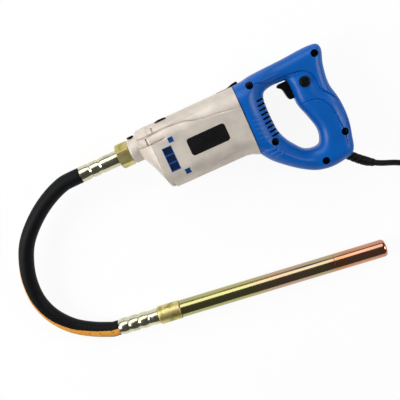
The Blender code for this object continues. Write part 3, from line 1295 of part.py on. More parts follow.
BOOT_ROUTE = ((0.1690, -0.1000, 0.0440), (0.1775, -0.1092, 0.0440), (0.1865, -0.1183, 0.0428),
              (0.1960, -0.1265, 0.0402), (0.2050, -0.1330, 0.0365))
CORD_ROUTE = ((0.2140, -0.1384, 0.0315), (0.2235, -0.1432, 0.0252), (0.2350, -0.1490, 0.0165),
              (0.2465, -0.1560, 0.0092), (0.2565, -0.1638, 0.0056), (0.2655, -0.1725, 0.0044),
              (0.2740, -0.1818, 0.0043))


def boot_path():
    return smooth_path(BOOT_ROUTE, 2)


def boot_rings(more):
    """Rings of the tapered strain relief along its bend, enlarged by a clearance."""
    path = boot_path()
    rings = []
    for i, p in enumerate(path):
        run = path[min(i + 1, len(path) - 1)] - path[max(i - 1, 0)]
        frame = axis_frame(p, run)
        share = i / (len(path) - 1)
        size = BOOT_START_RADIUS + (BOOT_END_RADIUS - BOOT_START_RADIUS) * share + more
        rings.append([frame @ Vector((x, y, -more if i == 0 else 0))
                      for x, y in circle(size, 14)])
    return rings


def boot_and_cord():
    """The tapered strain relief, the cord down to the floor, its coil and its plug."""
    radius = CORD_DIAMETER / 2
    path = boot_path()
    loft("cord_boot", boot_rings(0), "rubber")
    ring_out = COIL_MEAN_RADIUS + COIL_TURNS_ACROSS * CORD_DIAMETER / 2
    ring_in = COIL_MEAN_RADIUS - COIL_TURNS_ACROSS * CORD_DIAMETER / 2
    height = COIL_LAYERS * CORD_DIAMETER
    centre = Vector((COIL_CENTRE[0], COIL_CENTRE[1], 0))
    edge = radius / 2
    profile = [(0, ring_in + edge), (0, ring_out - edge), (edge, ring_out), (height - edge,
               ring_out), (height, ring_out - edge), (height, ring_in + edge),
               (height - edge, ring_in), (edge, ring_in)]
    turned("cord_coil", profile, centre, (0, 0, 1), "rubber", 40)
    away = ring_out + radius + GAP
    entry = centre + Vector((away * math.cos(COIL_ENTRY), away * math.sin(COIL_ENTRY), radius))
    start = path[-1] + (path[-1] - path[-2]).normalized() * 2.5 * GAP
    cord = smooth_path((tuple(start),) + CORD_ROUTE + (tuple(entry),), 2)
    tube("power_cord", cord, radius, "rubber", 2)
    leave = centre + Vector((away * math.cos(COIL_EXIT), away * math.sin(COIL_EXIT), radius))
    heading = COIL_EXIT + math.pi / 2 - PLUG_SPLAY
    run = Vector((math.cos(heading), math.sin(heading), 0))
    plug(leave, run)


def plug(start, run):
    """A moulded two-pin mains plug, lying flat on the floor."""
    frame = axis_frame(start, run)
    rings = []
    for along, wide in ((0, 0.32), (0.33, 0.41), (0.44, 0.76), (1, 1)):
        rings.append([frame @ Vector((x, y, along * PLUG_LENGTH))
                      for x, y in rounded(wide * PLUG_WIDTH, CORD_DIAMETER, PLUG_CORNER, 2)])
    body = loft("mains_plug", rings, "rubber")
    pins = []
    for side in (-1, 1):
        origin = frame @ Vector((side * PIN_SPACING / 2, 0, PLUG_LENGTH))
        profile = [(-PIN_RADIUS, 0), (-PIN_RADIUS, PIN_RADIUS),
                   (PIN_LENGTH - PIN_RADIUS / 2, PIN_RADIUS), (PIN_LENGTH, PIN_RADIUS / 2),
                   (PIN_LENGTH, 0)]
        pins.append(turned("pin", profile, origin, run, steps=14))
    combine(body, pins, "UNION")


def nameplate():
    """A bare black plate set into the housing's left side."""
    ring = rounded(PLATE_LENGTH, PLATE_HEIGHT, PLATE_CORNER, 5, PLATE_CENTRE)
    low = HOUSING_WIDTH - PLATE_DEPTH + GAP
    loft("nameplate", [[(x, y, low) for x, y in ring], [(x, y, HOUSING_WIDTH) for x, y in ring]],
         "black")


def build():
    clear()
    motor_housing()
    gearcase()
    bearing_plates()
    vent_inserts()
    nameplate()
    gears()
    spindle_group()
    armature_group()
    stator_group()
    brush_group()
    handle_shells()
    handle_screws()
    switch_group()
    hose(coupling_group())
    head_group()
    boot_and_cord()


build()
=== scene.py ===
"""Concrete vibrator: the finished surfaces over the machine's frame.

Laid out as an add-on.  One operator makes each piece or group of like pieces, one the stage; main()
calls them in order.  All places are in metres in the frame's own axes: +X from the nose to the
handle, +Y to the tool's top, +Z up from the floor the tool lies on.
"""

import math

import bpy
import numpy as np
from mathutils import Matrix, Vector


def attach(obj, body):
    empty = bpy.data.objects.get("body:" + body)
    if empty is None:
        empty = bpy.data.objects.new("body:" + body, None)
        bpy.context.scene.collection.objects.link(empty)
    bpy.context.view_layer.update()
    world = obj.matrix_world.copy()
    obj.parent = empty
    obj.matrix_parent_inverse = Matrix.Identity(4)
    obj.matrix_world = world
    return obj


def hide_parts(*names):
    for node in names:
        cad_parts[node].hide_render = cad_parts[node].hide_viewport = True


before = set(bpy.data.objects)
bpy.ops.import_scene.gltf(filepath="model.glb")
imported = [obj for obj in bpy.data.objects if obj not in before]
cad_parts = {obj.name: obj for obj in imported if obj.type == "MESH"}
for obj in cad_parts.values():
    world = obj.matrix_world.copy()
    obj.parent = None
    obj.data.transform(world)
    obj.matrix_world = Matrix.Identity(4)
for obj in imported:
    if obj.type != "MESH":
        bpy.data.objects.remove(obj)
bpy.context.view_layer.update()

bl_info = {
    "name": "Concrete vibrator",
    "version": (1, 0, 0),
    "blender": (4, 5, 0),
    "location": "View3D > Sidebar > Vibrator",
    "description": "Builds the surfaces and finishes of a hand-held concrete vibrator",
    "category": "Object",
}

# Places shared with the frame: the housing's ends and section, the gearcase, neck and spindle
FRONT, REAR = -0.06475, 0.06475
MID = 0.044
HALF_HEIGHT, CORNER = 0.047, 0.026
FLANGE_FRONT = -0.06675
NECK_END = -0.08645
NOSE = -0.10025
SPINDLE_Y = 0.0225
# Coupling: lengths along the spindle, radii from it
NUT_LENGTH, NUT_FLAT, NUT_BORE = 0.0185, 0.0155, 0.0118
FERRULE_LENGTH, FERRULE_RADIUS, FERRULE_BORE = 0.0599, 0.0114, 0.0084
CRIMPS, CRIMP_HALF, CRIMP_DEPTH = (0.0147, 0.0304), 0.0042, 0.0011
PART_GAP = 0.0003
# Poker head: its start and direction on the floor, the ends of its pieces along it, its radius
HEAD_ANGLE = math.radians(-6.77)
HEAD_START = np.array((-0.2339, -0.2115, 0.01375))
HEAD_RUN = np.array((math.cos(HEAD_ANGLE), math.sin(HEAD_ANGLE), 0.0))
BULGES, BULGE_LENGTH, SLEEVE_END = 3, 0.0155, 0.0620
COLLAR_SPAN, TUBE_SPAN, TIP_SPAN = (0.0623, 0.0968), (0.0971, 0.3351), (0.3354, 0.4134)
HEAD_RADIUS = 0.0130
# Hose: its start on the spindle's line, its straight length at each end, its bends
HOSE_START, HOSE_STRAIGHT = -0.1796, 0.01125
HOSE_ROUTE = ((-0.2085, 0.0213, 0.0436), (-0.2376, 0.0106, 0.0420), (-0.2688, -0.0087, 0.0390),
              (-0.2965, -0.0345, 0.0350), (-0.3120, -0.0600, 0.0310), (-0.3225, -0.0890, 0.0262),
              (-0.3255, -0.1215, 0.0217), (-0.3175, -0.1520, 0.0180), (-0.2975, -0.1795, 0.0155),
              (-0.2720, -0.1975, 0.0142))
# Handle: outline, opening, screws, slots and button, as x behind the seam and y
HANDLE_OUTLINE = (
    (0.0, 0.0472), (0.0160, 0.0482), (0.0250, 0.0500), (0.0750, 0.0523), (0.1200, 0.0542),
    (0.1290, 0.0513), (0.1312, 0.0438), (0.1257, 0.0238), (0.1228, 0.0026), (0.1232, -0.0073),
    (0.1272, -0.0246), (0.1292, -0.0423), (0.1288, -0.0617), (0.1246, -0.0832), (0.1205, -0.0990),
    (0.1150, -0.1063), (0.1036, -0.1093), (0.0910, -0.1112), (0.0792, -0.1113), (0.0617, -0.1073),
    (0.0430, -0.0965), (0.0228, -0.0802), (0.0085, -0.0662), (0.0, -0.0545),
)
OPENING_OUTLINE = (
    (0.0705, 0.0238), (0.0640, 0.0250), (0.0462, 0.0249), (0.0367, 0.0216), (0.0333, 0.0150),
    (0.0321, 0.0035), (0.0322, -0.0160), (0.0338, -0.0343), (0.0399, -0.0496), (0.0480, -0.0620),
    (0.0578, -0.0729), (0.0689, -0.0766), (0.0790, -0.0752), (0.0838, -0.0664), (0.0850, -0.0545),
    (0.0795, -0.0330), (0.0732, -0.0130), (0.0727, 0.0100),
)
HANDLE_SCREWS = ((0.1190, 0.0417), (0.0215, 0.0390), (0.0232, -0.0440), (0.1165, -0.0722),
                 (0.0772, -0.0985))
SCREW_RECESS, SCREW_BORE = 0.0085, 0.0052
SLOT_COUNT, SLOT_TOP, SLOT_PITCH, SLOT_LENGTH = 9, 0.0155, 0.0064, 0.0220
BUTTON_AT = (0.0922, 0.0124)
HANDLE_WIDE, HANDLE_SLIM = 0.0435, 0.0205
SHOULDER_WIDE, SHOULDER_SLIM = 0.025, 0.015
TRIGGER_TOP, TRIGGER_BOTTOM, TRIGGER_HALF_WIDTH = 0.0232, -0.0027, 0.0075

# Vents and nameplate: length, height and the middle's x and y.  Only the main vent is on both sides
MAIN_VENT = (0.0145, 0.0345, -0.0485, -0.0065)
UPPER_VENT = (0.0080, 0.0080, -0.03875, 0.0175)
LOWER_VENT = (0.0080, 0.0080, -0.03475, -0.0308)
PLATE = (0.0560, 0.0250, 0.0075, -0.0034)
PLATE_CORNER = 0.0050
HOLLOWS = [(l / 2 - 0.0006, h / 2 - 0.0006, x, y)
           for l, h, x, y in (MAIN_VENT, UPPER_VENT, LOWER_VENT)]
HOLLOW_DEPTH, PLATE_DEPTH, BAR_DEPTH = 0.0022, 0.0012, 0.0012
# Faces of a grille's backing, which comes first in its mesh: 24 sides and two ends
BACKING_FACES = 26

# The hose's stripe: share of the hose's length, and degrees up from the level outer side there
STRIPE_SHARE = (0, 0.42, 0.50, 0.58, 0.68, 0.76, 0.86, 1.0)
STRIPE_LEAN = (-62, -6, 6, 17, 31, 45, 60, 70)
# Mains lead: the boot, the way down to the floor, and the coil there
BOOT_ROUTE = ((0.1690, -0.1000, 0.0440), (0.1775, -0.1092, 0.0440), (0.1865, -0.1183, 0.0428),
              (0.1960, -0.1265, 0.0402), (0.2050, -0.1330, 0.0365))
CORD_ROUTE = ((0.2140, -0.1384, 0.0315), (0.2235, -0.1432, 0.0252), (0.2350, -0.1490, 0.0165),
              (0.2465, -0.1560, 0.0092), (0.2565, -0.1638, 0.0056), (0.2655, -0.1725, 0.0044),
              (0.2740, -0.1818, 0.0043))
COIL_CENTRE = (0.3240, -0.1410)
COIL_EXIT = math.radians(55)
# Angles in degrees along the coil: its start and end, a turn's step, the climb and the way out
COIL_START, COIL_END, COIL_STEP = -150, 1855, 126
CLIMB_START, LEAVE_START = 930, 1748
PLUG_SPLAY = math.radians(38)


# ---------------------------------------------------------------- sizes and colours

def linear(code):
    """A six-digit sRGB hex colour as linear red, green, blue and alpha."""
    parts = [int(code.lstrip("#")[i:i + 2], 16) / 255 for i in (0, 2, 4)]
    return tuple(c / 12.92 if c <= 0.04045 else ((c + 0.055) / 1.055) ** 2.4 for c in parts) + (1,)


def colour(name, code, description):
    return bpy.props.FloatVectorProperty(name=name, description=description, size=4, min=0, max=1,
                                         subtype="COLOR", default=linear(code))


def length(name, default, description):
    return bpy.props.FloatProperty(name=name, description=description, default=default, min=0,
                                   unit="LENGTH", precision=4)


class CastingSettings(bpy.types.PropertyGroup):
    """Sizes of the cast housing's relief."""
    lobe_height: length("Lobe height", 0.0028, "How far the upper lobes stand over the creases")
    crease_depth: length("Crease depth", 0.0021, "Depth of the crease between and behind the lobes")
    plateau_step: length("Plateau step", 0.0016, "Drop beside the raised side face")
    slit_depth: length("Slit depth", 0.0028, "Depth of the slits across the lobes")


class HandleSettings(bpy.types.PropertyGroup):
    """Sizes of the moulded handle's relief."""
    border_step: length("Border step", 0.0016, "Height of the border round the rear of the handle")
    panel_groove: length("Panel groove", 0.0013, "Depth of the line round the grip panel")
    rib_height: length("Rib height", 0.0012, "Height of the ribs at the lower front")
    slot_width: length("Slot width", 0.0026, "Width of each air slot")


class LeadSettings(bpy.types.PropertyGroup):
    """Sizes of the hose and the mains lead."""
    hose_diameter: length("Hose diameter", 0.0225, "Outside diameter of the hose")
    cord_diameter: length("Cord diameter", 0.0085, "Outside diameter of the mains lead")


class FinishSettings(bpy.types.PropertyGroup):
    """Base colours of the finishes."""
    aluminium: colour("Cast aluminium", "DBD1C6", "Blasted and silver-lacquered casting")
    shell: colour("Handle plastic", "005AB2", "Moulded handle shells")
    vent: colour("Vent plastic", "16498F", "Air grilles")
    rubber: colour("Hose rubber", "090A0D", "Cloth-finished hose")
    stripe: colour("Hose stripe", "E9A243", "Printed stripe along the hose")
    zinc: colour("Yellow zinc", "CEC07A", "Passivated zinc plating")
    floor: colour("Floor", "FAFAFA", "Studio floor")


# ---------------------------------------------------------------- node helpers

def node(tree, kind, links=(), **settings):
    """Adds one node, with its settings, and links (socket, source socket) pairs into it."""
    made = tree.nodes.new(kind)
    for key, value in settings.items():
        if key in {"operation", "data_type", "bands_direction"}:
            setattr(made, key, value)
        else:
            made.inputs[key.replace("_", " ")].default_value = value
    for socket, source in links:
        tree.links.new(source, made.inputs[socket])
    return made


def base(name, code, metallic, roughness, **sockets):
    """A material with one shader: returns it, its tree, the shader and the Object coordinates."""
    made = bpy.data.materials.new(name)
    made.use_nodes = True
    tree = made.node_tree
    tree.nodes.clear()
    shader = tree.nodes.new("ShaderNodeBsdfPrincipled")
    out = tree.nodes.new("ShaderNodeOutputMaterial")
    tree.links.new(shader.outputs[0], out.inputs[0])
    shader.inputs["Base Color"].default_value = linear(code) if isinstance(code, str) else code
    shader.inputs["Metallic"].default_value = metallic
    shader.inputs["Roughness"].default_value = roughness
    for key, value in sockets.items():
        shader.inputs[key.replace("_", " ")].default_value = value
    place = tree.nodes.new("ShaderNodeTexCoord")
    made.diffuse_color = shader.inputs["Base Color"].default_value
    return made, tree, shader, place.outputs["Object"]


def ramp(tree, source, *stops):
    """A colour ramp: stops are (position, colour or grey)."""
    made = node(tree, "ShaderNodeValToRGB", [("Fac", source)])
    bar = made.color_ramp
    while len(bar.elements) > 1:
        bar.elements.remove(bar.elements[-1])
    for k, (place, shade) in enumerate(stops):
        stop = bar.elements[0] if k == 0 else bar.elements.new(place)
        stop.position = place
        stop.color = (linear(shade) if isinstance(shade, str) else
                      shade if hasattr(shade, "__len__") else (shade, shade, shade, 1))
    return made.outputs[0]


def noise(tree, place, size_mm, detail=3, stretch=None, rough=0.5):
    """Noise whose blotches are about size_mm across."""
    if stretch:
        place = node(tree, "ShaderNodeMapping", [("Vector", place)], Scale=stretch).outputs[0]
    return node(tree, "ShaderNodeTexNoise", [("Vector", place)], Scale=1000 / size_mm,
                Detail=detail, Roughness=rough).outputs[0]


def wave(tree, place, size_mm, **settings):
    """Straight bands from 0 to 1.  Their pitch is nearly twice size_mm."""
    return node(tree, "ShaderNodeTexWave", [("Vector", place)], Scale=1000 / size_mm / 6.28,
                **settings).outputs["Fac"]


def spread(tree, source, **ends):
    """A value mapped from From_Min..From_Max to To_Min..To_Max, each 0..1 where it isn't given."""
    return node(tree, "ShaderNodeMapRange", [("Value", source)], **ends).outputs[0]


def maths(tree, operation, first, second=None):
    """One operation on a socket and, where there is a second, on another socket or a number."""
    number = isinstance(second, (int, float))
    links = [(0, first)] + ([] if number or second is None else [(1, second)])
    made = node(tree, "ShaderNodeMath", links, operation=operation)
    if number:
        made.inputs[1].default_value = second
    return made.outputs[0]


def roughen(tree, shader, source, low, high):
    tree.links.new(spread(tree, source, To_Min=low, To_Max=high), shader.inputs["Roughness"])


def bump(tree, shader, source, height_mm, strength=1.0, onto=None):
    links = [("Height", source)] + ([("Normal", onto)] if onto else [])
    made = node(tree, "ShaderNodeBump", links, Strength=strength, Distance=height_mm / 1000)
    tree.links.new(made.outputs[0], shader.inputs["Normal"])
    return made.outputs[0]


def shade(code, factor):
    """A hex or linear colour made lighter or darker."""
    c = linear(code) if isinstance(code, str) else code
    return tuple(min(1.0, v * factor) for v in c[:3]) + (1,)


# ---------------------------------------------------------------- finishes

def grained(name, code, metallic, roughness, specular, patches, gloss, grains):
    """A material whose colour, gloss and surface each follow a noise of their own.  patches is
    (size in mm, detail, colour stops, and the noise's roughness where it isn't 0.5), gloss is
    (size in mm, detail, least, most roughness) or None, and each of the grains, laid on one
    another, is (size in mm, detail, height in mm, strength)."""
    made, tree, shader, place = base(name, code, metallic, roughness, Specular_IOR_Level=specular)
    size, detail, stops, *rough = patches
    tree.links.new(ramp(tree, noise(tree, place, size, detail, None, *rough), *stops),
                   shader.inputs["Base Color"])
    if gloss:
        size, detail, least, most = gloss
        roughen(tree, shader, noise(tree, place, size, detail), least, most)
    under = None
    for size, detail, height_mm, strength in grains:
        under = bump(tree, shader, noise(tree, place, size, detail), height_mm, strength, under)
    return made


def between(dark, light):
    """Colour stops from a dark to a light shade."""
    return (0.3, dark), (0.7, light)


def around(code, low, high):
    """Colour stops from a darker to a lighter shade of one colour."""
    return between(shade(code, low), shade(code, high))


def poker_steel():
    """Turned steel tube, yellow passivated: straw-green near the hose, copper-pink towards the tip,
    with turning lines of 2 mm pitch (the real ones are finer) and drawn streaks."""
    made, tree, shader, place = base("passivated_poker_steel", "C9B37A", 1.0, 0.2)
    along = node(tree, "ShaderNodeMapping", [("Vector", place)],
                 Location=tuple(-HEAD_START @ np.array(axis) for axis in
                                (HEAD_RUN, (-HEAD_RUN[1], HEAD_RUN[0], 0), (0, 0, 1))),
                 Rotation=(0, 0, -HEAD_ANGLE)).outputs[0]
    split = node(tree, "ShaderNodeSeparateXYZ", [("Vector", along)])
    share = spread(tree, split.outputs["X"], From_Min=0.095, From_Max=0.415)
    streak = spread(tree, noise(tree, along, 9, 3, (0.12, 1, 1)), To_Min=0.4, To_Max=0.6)
    shifted = maths(tree, "SUBTRACT", maths(tree, "ADD", share, streak), 0.5)
    tree.links.new(ramp(tree, shifted, (0.0, "AEAA72"), (0.30, "B0AC74"),
                        (0.50, "BC9C82"), (0.64, "B2A27E"), (0.73, "B09C78"), (0.77, "C48660"),
                        (0.88, "C99276"), (1.0, "BC866E")), shader.inputs["Base Color"])
    roughen(tree, shader, noise(tree, along, 3, 4, (0.2, 1, 1)), 0.1, 0.22)
    bump(tree, shader, wave(tree, along, 1.0, Distortion=0.4), 0.006, 0.25)
    return made


def hose_rubber(settings):
    """Rubber cured in a cloth wrap: matt black with the cloth's diagonal weave, drawn at 3.2 mm so
    that it shows, and one printed stripe.  U is metres along, V turns round from the stripe."""
    made, tree, shader, place = base("cloth_finished_rubber", settings.rubber, 0.0, 0.55,
                                     Specular_IOR_Level=0.14)
    uv = node(tree, "ShaderNodeUVMap").outputs[0]
    split = node(tree, "ShaderNodeSeparateXYZ", [("Vector", uv)])
    off = maths(tree, "ABSOLUTE", maths(tree, "SUBTRACT", split.outputs["Y"], 0.5))
    wear = noise(tree, place, 3, 4)
    printed = maths(tree, "MULTIPLY", spread(tree, off, From_Min=0.414, From_Max=0.420),
                    spread(tree, wear, From_Min=0.25, From_Max=0.42))
    rubber = ramp(tree, noise(tree, place, 7, 4), *around(settings.rubber, 0.75, 1.5))
    stripe = ramp(tree, noise(tree, place, 11, 3), *around(settings.stripe, 0.85, 1.08))
    mix = node(tree, "ShaderNodeMix", [(0, printed), (6, rubber), (7, stripe)], data_type="RGBA")
    tree.links.new(mix.outputs[2], shader.inputs["Base Color"])
    weave = node(tree, "ShaderNodeMapping", [("Vector", uv)], Scale=(1, 0.0707, 1),
                 Rotation=(0, 0, math.radians(45))).outputs[0]
    threads = [wave(tree, weave, 1.6, bands_direction=way) for way in ("X", "Y")]
    bump(tree, shader, maths(tree, "MULTIPLY", *threads), 0.14, 0.55)
    roughen(tree, shader, wear, 0.45, 0.68)
    return made


def wound_copper():
    """Enamelled copper wire: amber, with the lie of the wire at 2.7 mm pitch and painted shade in
    the grooves between turns.
    """
    made, tree, shader, place = base("enamelled_copper_wire", "A8562A", 1.0, 0.3)
    lines = wave(tree, place, 1.2, bands_direction="DIAGONAL")
    # Colour follows the bump's bands, darker in the grooves: painted shade
    tree.links.new(ramp(tree, lines, (0.1, "6E3216"), (0.7, "B9653A")), shader.inputs["Base Color"])
    bump(tree, shader, lines, 0.2, 0.5)
    roughen(tree, shader, noise(tree, place, 3, 3), 0.22, 0.4)
    return made


FINISHES = {}


def finishes(settings):
    """Makes the materials once.  Each row is the name, base colour, metallic, roughness, specular
    level, colour patches, gloss and grains."""
    if FINISHES:
        return FINISHES
    cast, shell, vent, zinc = settings.aluminium, settings.shell, settings.vent, settings.zinc
    # A darker copy of the vent plastic: painted shade for the grilles' sunk backing
    deep_vent = shade(vent, 0.14)
    zinc_drift = ((0.32, "9A9C60"), (0.45, "CBBD70"), (0.58, "DFD094"), (0.72, "D2AA80"))
    ferrule_drift = ((0.35, "BDBFA4"), (0.55, "DCD8BC"), (0.7, "D2C68C"))
    rows = {
        # Blasted and silver-lacquered: half flake, half binder, so matt rather than mirror-like,
        # with cloudy patches and a faint orange peel
        "cast": ("die_cast_aluminium", cast, 0.45, 0.55, 0.5, (22, 4, around(cast, 0.84, 1.06)),
                 (6, 3, 0.5, 0.64), [(2.2, 2, 0.05, 0.5), (0.7, 2, 0.02, 0.6)]),
        # From a spark-eroded mould: even colour, fine leather grain, soft sheen
        "blue": ("moulded_blue_abs", shell, 0, 0.36, 0.3, (30, 3, around(shell, 0.9, 1.08)),
                 (4, 3, 0.30, 0.42), [(0.9, 2, 0.03, 0.45)]),
        # Satin air grilles, and a darker copy of that plastic for their sunk panels: painted shade
        "vent": ("moulded_vent_nylon", vent, 0, 0.42, 0.3, (5, 3, around(vent, 0.8, 1.15)), None,
                 [(0.8, 2, 0.03, 0.4)]),
        "deep_vent": ("vent_nylon_painted_shade", deep_vent, 0, 0.42, 0.3,
                      (5, 3, around(deep_vent, 0.8, 1.15)), None, [(0.8, 2, 0.03, 0.4)]),
        # Glossy from a polished mould, with faint handling marks, and a duller textured one
        "black": ("moulded_black_nylon", "08080A", 0, 0.3, 0.22,
                  (9, 3, between("050506", "0E0F11")), (5, 4, 0.24, 0.405),
                  [(1.0, 2, 0.03, 0.35)]),
        "dull_black": ("textured_black_nylon", "08080A", 0, 0.5, 0.22,
                       (9, 3, between("050506", "0E0F11")), (5, 4, 0.4, 0.675),
                       [(1.0, 2, 0.03, 0.35)]),
        # Inside of a slot, screw recess or trigger window: near-black painted shade, no gloss
        "dark": ("slot_painted_shade", "040508", 0, 0.9, 0.1, (3, 3, between("030406", "0A0C12")), None,
                 []),
        # Enamelled plate: smooth, slightly glossy, with a fine screen grain
        "plate": ("black_enamelled_plate", "131113", 0, 0.3, 0.25,
                  (12, 3, between("100F10", "191719")), (3, 3, 0.26, 0.38), [(1.2, 2, 0.02, 0.3)]),
        # Phosphated screws: dark, with brighter and darker patches and a grainy sheen
        "black_steel": ("blackened_steel", "0F0E10", 0.8, 0.42, 0.5,
                        (1.6, 3, between("08080A", "1A191B")), (1.0, 3, 0.28, 0.5),
                        [(0.6, 2, 0.03, 0.4)]),
        # Yellow passivation: olive to straw, with a faint pink and green drift, plain and dull
        "zinc": ("yellow_zinc", zinc, 1, 0.22, 0.5, (13, 3, zinc_drift, 0.55), (1.5, 4, 0.16, 0.32),
                 [(0.8, 2, 0.02, 0.35)]),
        "collar": ("dull_yellow_zinc", zinc, 1, 0.42, 0.5, (13, 3, zinc_drift, 0.55),
                   (1.5, 4, 0.36, 0.52), [(0.8, 2, 0.02, 0.35)]),
        # Brighter plating of the ferrules: silver with a yellow-green cast
        "pale_zinc": ("pale_passivated_zinc", "D2D0B4", 1, 0.2, 0.5, (9, 3, ferrule_drift),
                      (1.5, 4, 0.12, 0.28), [(0.8, 2, 0.02, 0.3)]),
        # Extruded lead: soft black sheen with faint drawn lines
        "cord": ("extruded_neoprene", "09090B", 0, 0.5, 0.12, (6, 3, between("060607", "101013")),
                 (3, 4, 0.4, 0.62), [(1.0, 3, 0.05, 0.4)]),
        # Carbon brush: matt grey-black with a graphite glint
        "carbon": ("pressed_carbon", "232427", 0.2, 0.6, 0.5, (0.8, 3, between("18191B", "34353A")),
                   None, [(0.5, 2, 0.04, 0.5)]),
    }
    # Ground, oiled and drawn metal: base colour with fine tool marks
    for key, name, code, least, most in (("steel", "ground_steel", "B9BBBF", 0.16, 0.3),
                                         ("dark_steel", "oiled_steel", "4A4B4E", 0.3, 0.5),
                                         ("brass", "drawn_brass", "C9A552", 0.18, 0.34)):
        rows[key] = (name, code, 1, (least + most) / 2, 0.5, (6, 3, around(code, 0.8, 1.08)),
                     (1.5, 3, least, most), [(0.8, 2, 0.02, 0.4)])
    FINISHES.update({key: grained(*row) for key, row in rows.items()})
    FINISHES.update(poker=poker_steel(), hose=hose_rubber(settings), copper=wound_copper())
    return FINISHES


SLOTS = {"cast_aluminium": "cast", "blue_plastic": "blue", "dark_blue_plastic": "vent",
         "black_plastic": "black", "black_plate": "plate", "black_steel": "black_steel",
         "bright_steel": "steel", "dark_steel": "dark_steel", "zinc_plated": "zinc",
         "poker_steel": "poker", "copper": "copper", "brass": "brass", "carbon": "carbon",
         "hose_rubber": "dull_black", "cord_rubber": "cord"}


# ---------------------------------------------------------------- surfaces

def wrapped(count, closed):
    """The first and second index of each step along a row, round to its start if closed."""
    first = np.arange(count if closed else count - 1)
    return first, (first + 1) % count


def surface(points, closed_u=False, closed_v=True, ends=False):
    """Faces of a grid P(u, v): each quad joins P(i, j), P(i, j+1), P(i+1, j+1), P(i+1, j).
    ends closes the first and last row round their middle.  Returns points and faces, outwards."""
    rows, columns = points.shape[:2]
    i, i2 = wrapped(rows, closed_u)
    j, j2 = wrapped(columns, closed_v)
    quads = np.stack([(i[:, None] * columns + j), (i[:, None] * columns + j2),
                      (i2[:, None] * columns + j2), (i2[:, None] * columns + j)], -1).reshape(-1, 4)
    flat = points.reshape(-1, 3)
    faces = quads.tolist()
    if ends:
        middle = np.stack([points[0].mean(0), points[-1].mean(0)])
        start, end = len(flat), len(flat) + 1
        flat = np.vstack([flat, middle])
        last = (rows - 1) * columns
        faces += [(start, int(b), int(a)) for a, b in zip(j, j2)]
        faces += [(end, int(a) + last, int(b) + last) for a, b in zip(j, j2)]
    return outward(flat, faces)


def outward(flat, faces):
    """Turns every face round if the solid's signed volume, summed over triangles, is negative."""
    centre = flat.mean(0)
    fans = [(f[0], f[k], f[k + 1]) for f in faces for k in range(1, len(f) - 1)]
    a, b, c = (flat[np.array(fans)[:, k]] - centre for k in range(3))
    if (np.cross(a, b) * c).sum() < 0:
        faces = [tuple(reversed(f)) for f in faces]
    return flat, [tuple(f) for f in faces]


def together(*parts):
    """Several (points, faces) as one."""
    flat, faces, first = [], [], 0
    for points, some in parts:
        flat.append(points)
        faces += [tuple(int(i) + first for i in f) for f in some]
        first += len(points)
    return np.vstack(flat), faces


def piece(name, part, finish, body, replaces=(), sharp=32, bevel=0.0, uv=None):
    """Makes an object of (points, faces), paints it and lets it ride on a body of the frame."""
    points, faces = part
    mesh = bpy.data.meshes.new(name)
    mesh.from_pydata(np.asarray(points, float).tolist(), [], faces)
    mesh.validate()
    mesh.shade_smooth()
    if sharp:
        mesh.set_sharp_from_angle(angle=math.radians(sharp))
    if uv is not None:
        layer = mesh.uv_layers.new(name="UVMap")
        corner = np.zeros(len(mesh.loops), np.int32)
        mesh.loops.foreach_get("vertex_index", corner)
        layer.data.foreach_set("uv", uv(corner, mesh).astype(np.float32).ravel())
    item = bpy.data.objects.new(name, mesh)
    bpy.context.scene.collection.objects.link(item)
    for kind in finish if isinstance(finish, (list, tuple)) else [finish]:
        mesh.materials.append(FINISHES[kind])
    if bevel:
        edge = item.modifiers.new("edge", "BEVEL")
        edge.width, edge.segments, edge.limit_method = bevel, 3, "ANGLE"
        edge.angle_limit = math.radians(30)
        edge.harden_normals = False
    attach(item, body)
    if replaces:
        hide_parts(*([replaces] if isinstance(replaces, str) else replaces))
    return item


def frame_of(direction):
    """Three unit vectors: the direction, a side and an up across it."""
    along = np.asarray(direction, float) / np.linalg.norm(direction)
    hint = np.array((0, 0, 1.0)) if abs(along[2]) < 0.9 else np.array((0, 1.0, 0))
    side = np.cross(hint, along)
    side /= np.linalg.norm(side)
    return along, side, np.cross(along, side)


def softened(profile, size=0.0004):
    """Each inner corner of a profile becomes three points of a quadratic curve of that size."""
    out = [profile[0]]
    for before, here, after in zip(profile, profile[1:], profile[2:]):
        before, here, after = (np.array(p, float) for p in (before, here, after))
        a = min(size, 0.45 * np.linalg.norm(here - before)) or 0
        b = min(size, 0.45 * np.linalg.norm(after - here)) or 0
        if a and b:
            p = here + (before - here) / np.linalg.norm(before - here) * a
            q = here + (after - here) / np.linalg.norm(after - here) * b
            out += [tuple(p), tuple((p + 2 * here + q) / 4), tuple(q)]
        else:
            out.append(tuple(here))
    return out + [profile[-1]]


def turned(profile, origin, direction=(1, 0, 0), steps=96, ring=False):
    """A profile of (x, r) turned about an axis: P = O + x A + r (cos t S + sin t U).
    ring closes the profile on itself, and without it the ends are closed at the axis."""
    along, side, up = frame_of(direction)
    x, r = np.array(profile, float).T
    t = np.linspace(0, 2 * math.pi, steps, endpoint=False)
    spokes = np.cos(t)[:, None] * side + np.sin(t)[:, None] * up
    grid = np.asarray(origin) + x[:, None, None] * along + r[:, None, None] * spokes[None]
    return surface(grid, closed_u=ring, ends=not ring)


